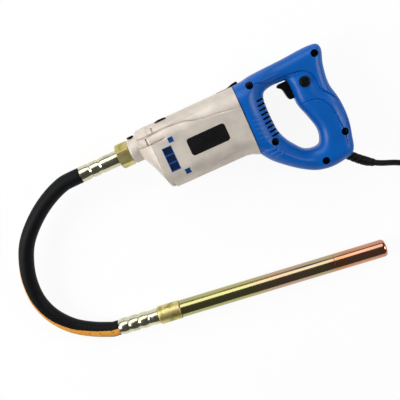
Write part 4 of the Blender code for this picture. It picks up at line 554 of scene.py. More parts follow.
def smooth_path(points, per_stretch, closed=False):
    """A centripetal Catmull-Rom curve through the points, cut into equal steps of its parameter."""
    p = np.asarray(points, float)
    if closed:
        p = np.vstack([p[-1], p, p[0], p[1]])
    else:
        p = np.vstack([2 * p[0] - p[1], p, 2 * p[-1] - p[-2]])
    out = []
    for a, b, c, d in zip(p, p[1:], p[2:], p[3:]):
        t0 = 0.0
        t1 = t0 + math.sqrt(np.linalg.norm(b - a)) + 1e-9
        t2 = t1 + math.sqrt(np.linalg.norm(c - b)) + 1e-9
        t3 = t2 + math.sqrt(np.linalg.norm(d - c)) + 1e-9
        t = np.linspace(t1, t2, per_stretch, endpoint=False)[:, None]
        ab = (t1 - t) / (t1 - t0) * a + (t - t0) / (t1 - t0) * b
        bc = (t2 - t) / (t2 - t1) * b + (t - t1) / (t2 - t1) * c
        cd = (t3 - t) / (t3 - t2) * c + (t - t2) / (t3 - t2) * d
        abc = (t2 - t) / (t2 - t0) * ab + (t - t0) / (t2 - t0) * bc
        bcd = (t3 - t) / (t3 - t1) * bc + (t - t1) / (t3 - t1) * cd
        out.append((t2 - t) / (t2 - t1) * abc + (t - t1) / (t2 - t1) * bcd)
    if not closed:
        out.append(p[-2][None])
    return np.vstack(out)


def run_of(path):
    """Distance along a path at each of its points."""
    return np.concatenate([[0], np.cumsum(np.linalg.norm(np.diff(path, axis=0), axis=1))])


def even(path, step):
    """The same path at equal steps."""
    run = run_of(path)
    where = np.linspace(0, run[-1], max(2, int(round(run[-1] / step)) + 1))
    return np.stack([np.interp(where, run, path[:, k]) for k in range(3)], -1)


def swept(path, radius, steps=32, start_angle=None):
    """Circles of a radius carried along a path, P = C(u) + r(u) (cos t S + sin t U), where S is
    level and points to the path's right, and U completes it.  start_angle turns each circle."""
    path = np.asarray(path, float)
    tangent = np.gradient(path, axis=0)
    tangent /= np.linalg.norm(tangent, axis=1)[:, None]
    side = np.cross(tangent, (0, 0, 1.0))
    side /= np.linalg.norm(side, axis=1)[:, None]
    up = np.cross(side, tangent)
    t = np.linspace(0, 2 * math.pi, steps, endpoint=False)[None, :]
    if start_angle is not None:
        t = t + np.asarray(start_angle)[:, None]
    r = np.broadcast_to(np.asarray(radius, float), len(path))[:, None, None]
    return (path[:, None] + r * (np.cos(t)[..., None] * side[:, None]
                                 + np.sin(t)[..., None] * up[:, None]))


def step_up(value, start, end):
    """Smooth step from 0 at start to 1 at end: 3s^2 - 2s^3."""
    s = np.clip((value - start) / (end - start), 0, 1)
    return s * s * (3 - 2 * s)


def step_down(value, start, end):
    """Smooth step from 1 at start to 0 at end."""
    return 1 - step_up(value, start, end)


def distance_to(points, chain, closed=False):
    """Shortest distance of each (x, y) to a poly line, over all its straight parts at once."""
    chain = np.asarray(chain, float)
    a = chain if closed else chain[:-1]
    b = np.roll(chain, -1, 0) if closed else chain[1:]
    best = np.full(len(points), 1.0)
    for start, end in zip(a, b):
        run = end - start
        share = np.clip(((points - start) @ run) / (run @ run), 0, 1)
        best = np.minimum(best, np.linalg.norm(points - start - share[:, None] * run, axis=1))
    return best


def height_over(x, line):
    """The y of a poly line at each x."""
    line = np.asarray(line)
    return np.interp(x, line[:, 0], line[:, 1])


# ---------------------------------------------------------------- casting

def rounded_ring(low, high, half_width, corner, flat_steps=56, side_steps=24, arc_steps=72):
    """A rounded rectangle round the tool's section, as (y, z), its outward normal, and the way
    round measured from each side face's level line: y on the flat, then the corner's arc."""
    y_flat, z_flat, low_flat = high - corner, half_width - corner, low + corner
    arc = corner * math.pi / 2

    def bend(start, end, y, sign):
        t = np.linspace(start, end, arc_steps, endpoint=False)
        return np.stack([y + sign * corner * np.sin(t), z_flat + corner * np.cos(t),
                         sign * np.sin(t), np.cos(t), y + sign * corner * t], -1)

    def level(start, end, y, sign, way):
        z = np.linspace(start, end, side_steps // 2, endpoint=False)
        return np.stack([0 * z + y, z, 0 * z + sign, 0 * z, way - sign * z], -1)

    up = np.linspace(low_flat, y_flat, flat_steps, endpoint=False)
    left = np.concatenate([level(0, z_flat, low, -1, low_flat - arc - z_flat),
                           bend(math.pi / 2, 0, low_flat, -1),
                           np.stack([up, 0 * up + half_width, 0 * up, 0 * up + 1, up], -1),
                           bend(0, math.pi / 2, y_flat, 1),
                           level(z_flat, 0, high, 1, y_flat + arc + z_flat)])
    mirror = left[::-1].copy()
    mirror[:, 1] *= -1
    mirror[:, 3] *= -1
    top_line = np.array([[high, 0.0, 1, 0, y_flat + arc + z_flat]])
    return np.concatenate([left, top_line, mirror[:-1]])


# Lines of the casting's relief, as x and the way round from the level line
CREASE = ((-0.0860, 0.0345), (-0.0708, 0.0352), (-0.0582, 0.0360), (-0.0392, 0.0365),
          (-0.0218, 0.0345), (-0.0119, 0.0334), (-0.0009, 0.0288), (0.0130, 0.0255),
          (0.0300, 0.0235), (0.0585, 0.0188), (0.0650, 0.0178))
FACET_TOP = ((-0.0360, 0.0380), (-0.0104, 0.0377), (0.0181, 0.0382), (0.0400, 0.0390))
RIDGE_LOW = ((-0.0860, 0.0214), (-0.0437, 0.0224))
# The low edge of the side face
LOWER_EDGE = ((-0.0430, -0.0347), (-0.0226, -0.0363), (-0.0014, -0.0353), (0.0160, -0.0338),
              (0.0344, -0.0329), (0.0475, -0.0323), (0.0552, -0.0357), (0.0629, -0.0448))
NOTCH = -0.0606
# Slits: x, and where each begins and ends on the way round
SLITS = ((-0.0580, 0.0355, 0.0460), (-0.0700, 0.0218, 0.0320))


def relief(x, way, settings):
    """How far the casting's skin lies in from the rounded section, from the way round it.
    Two half-round lobes, lost by h (1 - sqrt(1 - t^2)) either side of their crests, run along the
    upper corner; between them a crease runs on behind them, under a facet that leans inwards; the
    side face ends at a low edge with a leaning strip below it."""
    h, deep, step = settings.lobe_height, settings.crease_depth, settings.plateau_step
    out = np.zeros_like(x)
    front = step_up(x, -0.0885, -0.0850)
    crease, low_side = height_over(x, CREASE), height_over(x, RIDGE_LOW)
    for bottom, top, start, end in ((crease, 0.0570, -0.0440, -0.0180),
                                    (low_side, crease, -0.0500, -0.0405)):
        t = np.clip((2 * way - bottom - top) / (top - bottom), -1.25, 1.25)
        inside = np.where(np.abs(t) < 1, 1 - np.sqrt(np.clip(1 - t * t, 0, 1)),
                          np.clip((1.25 - np.abs(t)) / 0.25, 0, 1))
        out -= h * 0.6 * inside * step_down(x, start, end) * front
    # Crease: a crisp groove between the lobes, softer behind them
    depth = deep * np.interp(x, [-0.0885, -0.0840, -0.0120, 0.0050, 0.0400, 0.0600],
                             [0, 1.0, 1.0, 0.6, 0.35, 0.1])
    out -= depth * step_down(np.abs(way - crease), 0.0002, 0.0013)
    lower = step_down(np.abs(way - low_side), 0.0002, 0.0012)
    out -= 0.9 * deep * lower * step_down(x, -0.0500, -0.0410) * front
    # Facet between its top line and the crease
    top_line = height_over(x, FACET_TOP)
    share = np.clip((top_line - way) / np.maximum(top_line - crease, 0.0008), 0, 1)
    facet = step_up(top_line - way, -0.0002, 0.0004) * (way > crease)
    facet_fade = step_up(x, -0.0380, -0.0300) * step_down(x, 0.0200, 0.0420)
    out -= step * facet * (0.35 + 0.85 * share) * facet_fade
    rise = np.clip((way - crease + 0.0016) / 0.0016, 0, 1) * (way <= crease)
    out -= step * 1.2 * rise * facet_fade
    # Swelling over the gears
    swell = np.exp(-((x + 0.0712) / 0.0050) ** 2 - ((way - 0.0070) / 0.0100) ** 2)
    out += 0.28 * step * swell
    # The lower front corner is rounded off
    out -= 0.0024 * step_down(x, -0.0640, -0.0575) * step_down(way, -0.0500, -0.0400)
    # Notch in the lower edge beside the seam
    out -= 0.0022 * step_down(np.abs(x - NOTCH), 0.0005, 0.0012) * step_down(way, -0.0420, -0.0370)
    # Slits across the lobes
    for at, bottom, top in SLITS:
        band = (way > bottom) & (way < top)
        out -= settings.slit_depth * band * step_down(np.abs(x - at), 0.0006, 0.0012)
    # Low edge of the side face and the strip under it
    low = height_over(x, LOWER_EDGE)
    reach = step_up(x, -0.0440, -0.0380) * step_down(x, 0.0600, 0.0645)
    below = step_up(low - way, -0.0003, 0.0005) * step_down(low - way, 0.0120, 0.0200)
    wedge = step_up(x, -0.0080, 0.0020) * step_down(x, 0.0400, 0.0480)
    lean = np.clip((low - way) / 0.0050, 0, 1) * step_down(low - way, 0.0050, 0.0075)
    out -= step * below * (0.55 + 0.9 * wedge * lean) * reach
    return out


def stations(start, end, step, fine=(), around=0.0016, fine_step=0.0003):
    """Places from start to end, closer together around the fine ones."""
    places = list(np.arange(start, end, step)) + [end]
    for at in fine:
        places += list(np.arange(at - around, at + around, fine_step))
    places = np.unique(np.round(np.clip(places, start, end), 6))
    keep = np.concatenate([[True], np.diff(places) > 0.00012])
    return places[keep]


def casting_grid(xs, sizes, settings):
    """Sections at each x, set out along their normals by the relief."""
    rings = []
    for x, (low, high, half, corner) in zip(xs, sizes):
        y, z, ny, nz, way = rounded_ring(low, high, half, corner).T
        xx = np.full_like(y, x)
        shift = relief(xx, way, settings)
        for k, (half_x, half_y, cx, cy) in enumerate(HOLLOWS):
            inside = (np.abs(x - cx) < half_x) & (np.abs(y - cy) < half_y) & ((z > 0) | (k == 0))
            shift = np.where(inside, shift - HOLLOW_DEPTH, shift)
        l, h, cx, cy = PLATE
        gap = np.hypot(np.clip(np.abs(x - cx) - l / 2 + PLATE_CORNER, 0, None),
                       np.clip(np.abs(y - cy) - h / 2 + PLATE_CORNER, 0, None))
        shift = np.where((gap < PLATE_CORNER - 0.0002) & (z > 0), shift - PLATE_DEPTH, shift)
        rings.append(np.stack([xx, y + ny * shift, MID + z + nz * shift], -1))
    return np.array(rings)


def prism(outline, low, high, to_world=None):
    """An outline of (x, y) points carried straight from low to high, with both ends closed."""
    outline = np.asarray(outline, float)
    grid = np.stack([np.column_stack([outline, np.full(len(outline), z)]) for z in (low, high)])
    flat = grid.reshape(-1, 3)
    n = len(outline)
    a = np.arange(n)
    b = (a + 1) % n
    faces = np.stack([a, b, b + n, a + n], -1).tolist()
    faces += [tuple(range(n - 1, -1, -1)), tuple(range(n, 2 * n))]
    if to_world is not None:
        flat = to_world(flat)
    return outward(flat, faces)


def rounded_box(length, height, radius, steps=6, centre=(0, 0)):
    """The outline of a rectangle with round corners."""
    t = np.linspace(0, math.pi / 2, steps)
    corners = []
    for k, (sx, sy) in enumerate(((1, 1), (-1, 1), (-1, -1), (1, -1))):
        mx, my = sx * (length / 2 - radius), sy * (height / 2 - radius)
        turn = t + k * math.pi / 2
        corners.append(np.column_stack([mx + radius * np.cos(turn), my + radius * np.sin(turn)]))
    return np.vstack(corners) + np.asarray(centre)


class VIBRATOR_OT_housing(bpy.types.Operator):
    """Cast motor housing with its lobes, crease, facets and flared rear rim"""
    bl_idname = "vibrator.housing"
    bl_label = "Motor housing"

    def execute(self, context):
        settings = context.scene.vibrator_casting
        fine = [NOTCH] + [s[0] for s in SLITS]
        fine += [x + d for l, h, x, y in (MAIN_VENT, UPPER_VENT, LOWER_VENT, PLATE)
                 for d in (-l / 2, l / 2)]
        xs = stations(FRONT, REAR, 0.0011, fine, 0.0010, 0.00035)
        drop = 0.0065 * np.interp(xs, [REAR - 0.02, REAR - 0.012, REAR - 0.005, REAR],
                                  [0, 0.2, 0.7, 1.0])
        edge = 0.0002 * (1 - np.clip((xs - FRONT) / 0.0003, 0, 1)) ** 2
        sizes = [(-HALF_HEIGHT - d + e, HALF_HEIGHT - e, MID - e, CORNER - e)
                 for d, e in zip(drop, edge)]
        grid = casting_grid(xs, sizes, settings)
        piece("cast_housing", surface(grid, ends=True), "cast", "tool", "motor_housing",
              sharp=40)
        return {"FINISHED"}


class VIBRATOR_OT_gearcase(bpy.types.Operator):
    """Cast gearcase: sections drawn in from the flange to the round neck"""
    bl_idname = "vibrator.gearcase"
    bl_label = "Gearcase"

    def execute(self, context):
        settings = context.scene.vibrator_casting
        top, sump, half = HALF_HEIGHT - 0.0001, -HALF_HEIGHT + 0.0055, MID - 0.0001
        low_neck, high_neck = SPINDLE_Y - 0.0175, SPINDLE_Y + 0.0175
        rows = np.array((
            (0.00, low_neck, high_neck + 0.0030, 0.0185, 0.0165),
            (0.16, low_neck - 0.0045, top - 0.0008, 0.0250, 0.0180),
            (0.50, low_neck - 0.0180, top, 0.0340, 0.0220),
            (0.97, sump + 0.0045, top, half - 0.0012, 0.0248),
            (1.00, sump + 0.0040, top, half - 0.0008, 0.0250)))
        xs = stations(NECK_END, FLANGE_FRONT, 0.0006, [SLITS[1][0]])
        share = (xs - NECK_END) / (FLANGE_FRONT - NECK_END)
        path = smooth_path(np.column_stack([rows[:, 0], rows[:, 1:3]]), 12)
        low, high = np.interp(share, path[:, 0], path[:, 1]), np.interp(share, path[:, 0],
                                                                       path[:, 2])
        path = smooth_path(np.column_stack([rows[:, 0], rows[:, 3:5]]), 12)
        wide, corner = (np.interp(share, path[:, 0], path[:, k]) for k in (1, 2))
        sizes = list(zip(low, high, wide, corner))
        flange = np.array([FLANGE_FRONT + 0.0001, FLANGE_FRONT + 0.0004, FRONT - 0.0004,
                           FRONT - 0.0001])
        inset = (0.0002, 0, 0, 0.0001)
        xs = np.concatenate([xs, flange])
        sizes += [(sump + e, top - e, half - e, CORNER) for e in inset]
        case = surface(casting_grid(xs, sizes, settings), ends=True)
        profile = softened([(NECK_END + 0.004, 0.0092), (NECK_END + 0.004, 0.0175),
                            (NOSE + 0.0022, 0.0175), (NOSE + 0.0016, 0.0167), (NOSE, 0.0167),
                            (NOSE, 0.0143), (NOSE + 0.0020, 0.0140), (NOSE + 0.0022, 0.0092)],
                           0.0005)
        neck = turned(profile, (0, SPINDLE_Y, MID), ring=True)
        piece("cast_gearcase", together(case, neck), "cast", "tool", "gearcase",
              sharp=38)
        return {"FINISHED"}


def grille(length, height, centre, windows, tilt, side):
    """A grille as closed bars round its windows, on the surface's own slope."""
    x, y = centre
    z = MID - 0.00005
    if abs(y) > HALF_HEIGHT - CORNER:
        off = abs(y) - (HALF_HEIGHT - CORNER)
        z -= CORNER - math.sqrt(CORNER ** 2 - off ** 2)
    lean = math.copysign(tilt, y)

    def to_world(flat):
        up, level = flat[:, 1], flat[:, 2]
        yy = y + up * math.cos(lean) + level * math.sin(lean)
        zz = z - up * math.sin(lean) + level * math.cos(lean)
        return np.column_stack([x + flat[:, 0], yy, MID + side * zz])

    edge, bar = 0.0014, 0.0022
    parts = [prism(rounded_box(length - 0.0006, height - 0.0006, 0.0006), -HOLLOW_DEPTH,
                   -BAR_DEPTH, to_world)]
    for sx in (-1, 1):
        parts.append(prism(rounded_box(edge, height, 0.0005, centre=(sx * (length - edge) / 2, 0)),
                           -BAR_DEPTH, 0, to_world))
    pitch = (height - edge) / windows
    for k in range(windows + 1):
        wide = edge if k in (0, windows) else bar
        place = -height / 2 + edge / 2 + k * pitch
        parts.append(prism(rounded_box(length - edge, wide, 0.0004, centre=(0, place)),
                           -BAR_DEPTH, -0.00005, to_world))
    return together(*parts)


class VIBRATOR_OT_grilles(bpy.types.Operator):
    """Air grilles with painted shade behind the main ones' windows, a black top bar and a black
    seam ring as painted shade, the seam insert and the bare plate
    """
    bl_idname = "vibrator.grilles"
    bl_label = "Grilles and nameplate"

    def execute(self, context):
        tilt = math.asin((-LOWER_VENT[3] - (HALF_HEIGHT - CORNER)) / CORNER)
        for name, (l, h, x, y), windows, side, lean in (
                ("main_vent_left", MAIN_VENT, 3, 1, 0), ("main_vent_right", MAIN_VENT, 3, -1, 0),
                ("upper_vent_left", UPPER_VENT, 1, 1, 0),
                ("lower_vent_left", LOWER_VENT, 1, 1, tilt)):
            made = piece(name.replace("vent", "grille"), grille(l, h, (x, y), windows, lean, side),
                         ["vent", "deep_vent"], "tool", name, sharp=30)
            # The main grilles' backing, seen through their windows, takes the darker copy: painted
            # shade
            for face in made.data.polygons[:BACKING_FACES]:
                face.material_index = 1 if windows > 1 else 0
        l, h, x, y = PLATE
        outline = rounded_box(l, h, PLATE_CORNER, 10, (x, y))
        piece("bare_nameplate", prism(outline, 0.0866, 0.08795), "plate", "tool", "nameplate",
              bevel=0.0003)
        # The top bar is black because the slot it stands for lies in shade: painted shade
        for name, profile, middle in (
                ("top_slot_painted_shade", ((-0.0510, 0.0450), (-0.0340, 0.0450), (-0.0345, 0.0469),
                                (-0.0385, 0.0479), (-0.0465, 0.0479), (-0.0505, 0.0469)), 0.0635),
                ("seam_insert", ((0.0560, 0.0460), (0.0740, 0.0460), (0.0738, 0.0506),
                                 (0.0715, 0.0511), (0.0655, 0.0502), (0.0560, 0.0470)), MID)):
            piece(name, prism(np.array(profile), middle - 0.0075, middle + 0.0075), "black", "tool",
                  bevel=0.0004)
        # A black ring set into the seam between casting and handle: painted shade of the gap
        rows = [(REAR - 0.0007, 0.0004), (REAR - 0.0005, 0.0), (REAR + 0.0005, 0.0),
                (REAR + 0.0007, 0.0004)]
        rings = [rounded_ring(-0.0537 + e, 0.0472 - e, 0.0440 - e, CORNER).T for x, e in rows]

        def loops(depth):
            """The ring's sections, set in by a depth."""
            return np.array([np.stack([np.full_like(r[0], x), r[0] - r[2] * depth,
                                       MID + r[1] - r[3] * depth], -1)
                             for (x, e), r in zip(rows, rings)])

        grid = np.concatenate([loops(0), loops(0.0020)[::-1]])
        piece("seam_gap_painted_shade", surface(grid, closed_u=True), "dull_black", "tool")
        return {"FINISHED"}


# ---------------------------------------------------------------- handle

BORDER = ((0.0180, 0.0392), (0.0302, 0.0379), (0.0463, 0.0325), (0.0640, 0.0305), (0.0840, 0.0292),
          (0.0960, 0.0262), (0.1040, 0.0190), (0.1080, 0.0060), (0.1082, -0.0040),
          (0.1180, -0.0171), (0.1262, -0.0322), (0.1268, -0.0480), (0.1248, -0.0650),
          (0.1242, -0.0776))
PANEL = ((0.0714, -0.0160), (0.0800, -0.0142), (0.0882, -0.0136), (0.1031, -0.0189),
         (0.1115, -0.0328), (0.1145, -0.0529), (0.1158, -0.0738), (0.1132, -0.0887))
RIBS = (((0.0010, -0.0497), (0.0220, -0.0522)), ((0.0064, -0.0586), (0.0260, -0.0569)),
        ((0.0121, -0.0643), (0.0287, -0.0626)))


def slimmed(x, wide, slim):
    """A size that is wide beside the motor and slim at the grip, x behind the seam."""
    return wide + (slim - wide) * step_up(x, 0.006, 0.072)


def handle_half(x):
    """Half the handle's width."""
    return slimmed(x, HANDLE_WIDE, HANDLE_SLIM)


def loop_radius(chain, centre, angles):
    """How far a closed chain lies from a centre in each direction, by crossing its parts."""
    a = chain - centre
    b = np.roll(chain, -1, 0) - centre
    far = np.zeros(len(angles))
    for k, angle in enumerate(angles):
        ray = np.array((math.cos(angle), math.sin(angle)))
        cross_a = ray[0] * a[:, 1] - ray[1] * a[:, 0]
        cross_b = ray[0] * b[:, 1] - ray[1] * b[:, 0]
        hit = (cross_a <= 0) & (cross_b > 0) | (cross_a > 0) & (cross_b <= 0)
        share = cross_a[hit] / (cross_a[hit] - cross_b[hit])
        spot = a[hit] + share[:, None] * (b[hit] - a[hit])
        reach = spot @ ray
        far[k] = reach[reach > 0].max()
    return far


def shell_surface(side, settings):
    """One half of the D-handle, a ring between opening and outline.  For each direction t round
    the opening's middle C, P = C + r(t, s) D(t), with r from the opening's edge to the outline's,
    and height = full - fall + fall sqrt(1 - (1 - d / size)^2), where d is the distance to the
    nearest edge; relief lines are added to it.  Walls and a flat floor close it."""
    outer = smooth_path(np.array([(x, y, 0) for x, y in HANDLE_OUTLINE]), 8)[:, :2]
    outer[:, 0] = np.maximum(outer[:, 0], 0.0003)
    hole = smooth_path(np.array([(x, y, 0) for x, y in OPENING_OUTLINE]), 8, True)[:, :2]
    centre = np.array((0.0560, -0.0240))
    turn = np.linspace(-math.pi, math.pi, 720, endpoint=False)
    far, near = (loop_radius(chain, centre, turn) for chain in (outer, hole))
    run = np.stack([np.cos(turn), np.sin(turn)], -1)
    s = (1 - np.cos(np.linspace(0, math.pi, 90))) / 2
    s = 0.65 * s + 0.35 * np.linspace(0, 1, 90)
    reach = near[:, None] + (far - near)[:, None] * s[None]
    spot = centre + reach[..., None] * run[:, None]
    flat = spot.reshape(-1, 2)
    depth = np.minimum(distance_to(flat, outer), distance_to(flat, hole, True))
    x, y = flat.T
    size, full = slimmed(x, SHOULDER_WIDE, SHOULDER_SLIM), handle_half(x)
    fall = np.minimum(size, full - 0.0035)
    share = np.minimum(1, depth / size)
    height = full - fall + fall * np.sqrt(np.maximum(0, 1 - (1 - share) ** 2))
    inner = np.minimum(1, share * 3)
    # Border: the part outside this line stands higher
    line = smooth_path(np.array([(a, b, 0) for a, b in BORDER]), 6)[:, :2]
    off = distance_to(flat, line)
    nearest = np.argmin(((flat[:, None, :] - line[None, ::3]) ** 2).sum(-1), axis=1) * 3
    tangent = np.gradient(line, axis=0)[nearest]
    gap = flat - line[nearest]
    outside = tangent[:, 0] * gap[:, 1] - tangent[:, 1] * gap[:, 0] > 0
    signed = np.where(outside, off, -off)
    ends = step_up(x, 0.020, 0.036) * step_up(y, -0.082, -0.070)
    height -= (settings.border_step * step_down(signed, -0.0005, 0.0004)
               * step_down(-signed, 0.004, 0.014) * ends * inner)
    height -= 0.8 * settings.border_step * step_down(off, 0.0002, 0.0012) * ends * inner
    # Panel: a thin groove round the grip
    line = smooth_path(np.array([(a, b, 0) for a, b in PANEL]), 6)[:, :2]
    off = distance_to(flat, line)
    height -= settings.panel_groove * step_down(off, 0.0002, 0.0012) * inner
    for a, b in RIBS:
        off = distance_to(flat, np.array((a, b)))
        height += settings.rib_height * step_down(off, 0.0004, 0.0018) * inner
    # Shallow ribs beside the air slots
    for k in range(3, SLOT_COUNT):
        level = SLOT_TOP - k * SLOT_PITCH
        off = distance_to(flat, np.array(((0.0075, level), (0.0160, level))))
        height -= 0.0005 * step_down(off, 0.0008, 0.0018) * inner
    top = np.stack([x, y, height], -1).reshape(spot.shape[0], spot.shape[1], 3)
    first, last = top[:, :1].copy(), top[:, -1:].copy()
    floor_in, floor_out = first.copy(), last.copy()
    floor_in[..., 2] = floor_out[..., 2] = 0.00015
    grid = np.concatenate([floor_in, (floor_in + first) / 2, top, (floor_out + last) / 2,
                           floor_out], 1)
    grid[..., 0] += REAR
    grid[..., 2] = MID + side * grid[..., 2]
    return surface(grid, closed_u=True, closed_v=True)


def cut(item, tools, finish):
    """Takes closed shapes out of a piece, and lines the cuts with a second finish."""
    points, faces = together(*tools)
    mesh = bpy.data.meshes.new("cutter")
    mesh.from_pydata(points.tolist(), [], faces)
    cutter = bpy.data.objects.new("cutter", mesh)
    bpy.context.scene.collection.objects.link(cutter)
    mesh.materials.append(FINISHES[finish])
    step = item.modifiers.new("cut", "BOOLEAN")
    step.operation, step.solver, step.object = "DIFFERENCE", "EXACT", cutter
    step.use_self = False
    step.material_mode = "TRANSFER"
    graph = bpy.context.evaluated_depsgraph_get()
    done = bpy.data.meshes.new_from_object(item.evaluated_get(graph))
    item.modifiers.clear()
    if len(done.polygons) < len(item.data.polygons) // 2:
        raise RuntimeError(f"cutting {item.name} lost its surface")
    item.data = done
    bpy.data.objects.remove(cutter)
    done.set_sharp_from_angle(angle=math.radians(32))


def opening_front(y):
    """How far behind the seam the opening's front wall stands at a height."""
    wall = sorted((p for p in OPENING_OUTLINE if p[0] < 0.058), key=lambda p: p[1])
    return float(np.interp(y, [p[1] for p in wall], [p[0] for p in wall]))


class VIBRATOR_OT_handle(bpy.types.Operator):
    """The two moulded half shells with slots, screw recesses and relief lines"""
    bl_idname = "vibrator.handle"
    bl_label = "Handle shells"

    def execute(self, context):
        settings = context.scene.vibrator_handle
        width = settings.slot_width
        for side, word in ((1, "left"), (-1, "right")):
            item = piece(f"moulded_shell_{word}", shell_surface(side, settings), "blue", "tool",
                         f"handle_shell_{word}", sharp=32)
            deep = []
            for k in range(SLOT_COUNT):
                y = SLOT_TOP - k * SLOT_PITCH
                outline = rounded_box(SLOT_LENGTH, width, width * 0.35, 4,
                                      (REAR + opening_front(y) - 0.0010, y))
                z = sorted((MID + side * 0.006, MID + side * 0.046))
                deep.append(prism(outline, z[0], z[1]))
            for x, y in HANDLE_SCREWS:
                z = sorted((MID + side * (handle_half(x) - SCREW_RECESS), MID + side * 0.046))
                t = np.linspace(0, 2 * math.pi, 40, endpoint=False)
                ring = np.column_stack([REAR + x + SCREW_BORE * np.cos(t),
                                        y + SCREW_BORE * np.sin(t)])
                deep.append(prism(ring, z[0], z[1]))
            z = sorted((MID - side * 0.001, MID + side * 0.0079))
            deep.append(prism(np.array(((REAR + 0.062, -0.0033), (REAR + 0.0915, -0.0033),
                                        (REAR + 0.0915, 0.0238), (REAR + 0.062, 0.0238))), *z))
            # The cut walls of the slots, screw recesses and trigger window are lined near-black:
            # painted shade
            cut(item, deep, "dark")
        return {"FINISHED"}


class VIBRATOR_OT_controls(bpy.types.Operator):
    """Trigger with its finger lip, lock button with its collar, and the handle's screws"""
    bl_idname = "vibrator.controls"
    bl_label = "Trigger, button and screws"

    def execute(self, context):
        top, bottom = TRIGGER_TOP, TRIGGER_BOTTOM
        view = np.array([(0.0840, bottom), (0.0840, top), (0.0640, top), (0.0600, top - 0.0001),
                         (0.0570, top - 0.0012), (0.0560, top - 0.0032), (0.0568, top - 0.0050),
                         (0.0590, top - 0.0064), (0.0610, top - 0.0078), (0.0622, top - 0.0110),
                         (0.0630, top - 0.0155), (0.0640, bottom + 0.0050),
                         (0.0655, bottom + 0.001), (0.0670, bottom)])
        view[:, 0] += REAR
        piece("moulded_trigger", prism(view, MID - TRIGGER_HALF_WIDTH, MID + TRIGGER_HALF_WIDTH),
              "black", "trigger", "trigger", bevel=0.0013)
        x, y = BUTTON_AT
        surface_z = MID + float(handle_half(x))
        shoulder_z, low = surface_z + 0.0028, 0.0572
        crown = [(low, 0.0060), (shoulder_z, 0.0060)]
        crown += [(shoulder_z + 0.0012 * math.sin(a), 0.0048 + 0.0012 * math.cos(a))
                  for a in np.linspace(0, math.pi / 2, 10)[1:]]
        crown.append((surface_z + 0.0036, 0.0030))
        piece("moulded_lock_button", turned(crown, (REAR + x, y, 0), (0, 0, 1)), "black",
              "lock_button", "lock_button")
        collar = softened([(surface_z - 0.0020, 0.0063), (surface_z + 0.0013, 0.0063),
                           (surface_z + 0.0013, 0.0073), (surface_z - 0.0020, 0.0079)], 0.0005)
        piece("button_collar", turned(collar, (REAR + x, y, 0), (0, 0, 1), ring=True), "dull_black",
              "tool")
        for number, (x, y) in enumerate(HANDLE_SCREWS, 1):
            seat = MID + float(handle_half(x)) - SCREW_RECESS + 0.0003
            pan_screw(f"cap_screw_{number}", (REAR + x, y, 0), (0, 0, 1), seat, 0.0040, 0.0030,
                      f"handle_screw_{number}")
        return {"FINISHED"}


def pan_screw(name, origin, direction, seat, radius, height, node_name):
    """A pan-head screw: a domed head with a cross recess, on a plain shank."""
    dome = [(seat - 0.0100, 0.0005), (seat - 0.0095, 0.0018), (seat, 0.0020), (seat, radius)]
    t = np.linspace(0, math.pi / 2, 9)
    dome += [(seat + 0.45 * height + 0.55 * height * math.sin(a),
              radius * (0.45 + 0.55 * math.cos(a))) for a in t]
    item = piece(name, turned(dome, origin, direction, 48), "black_steel", "tool", node_name,
                 sharp=40)
    along, side, up = frame_of(direction)
    centre = np.asarray(origin) + along * (seat + height)
    bar = rounded_box(radius * 1.15, radius * 0.26, radius * 0.05, 3)
    for a, b in ((side, up), (up, side)):
        cut(item, [prism(bar, -0.0012, 0.0010, lambda flat: centre + flat[:, :1] * a
                         + flat[:, 1:2] * b + flat[:, 2:] * along)], "black_steel")
    return item


# ---------------------------------------------------------------- coupling, hose and poker

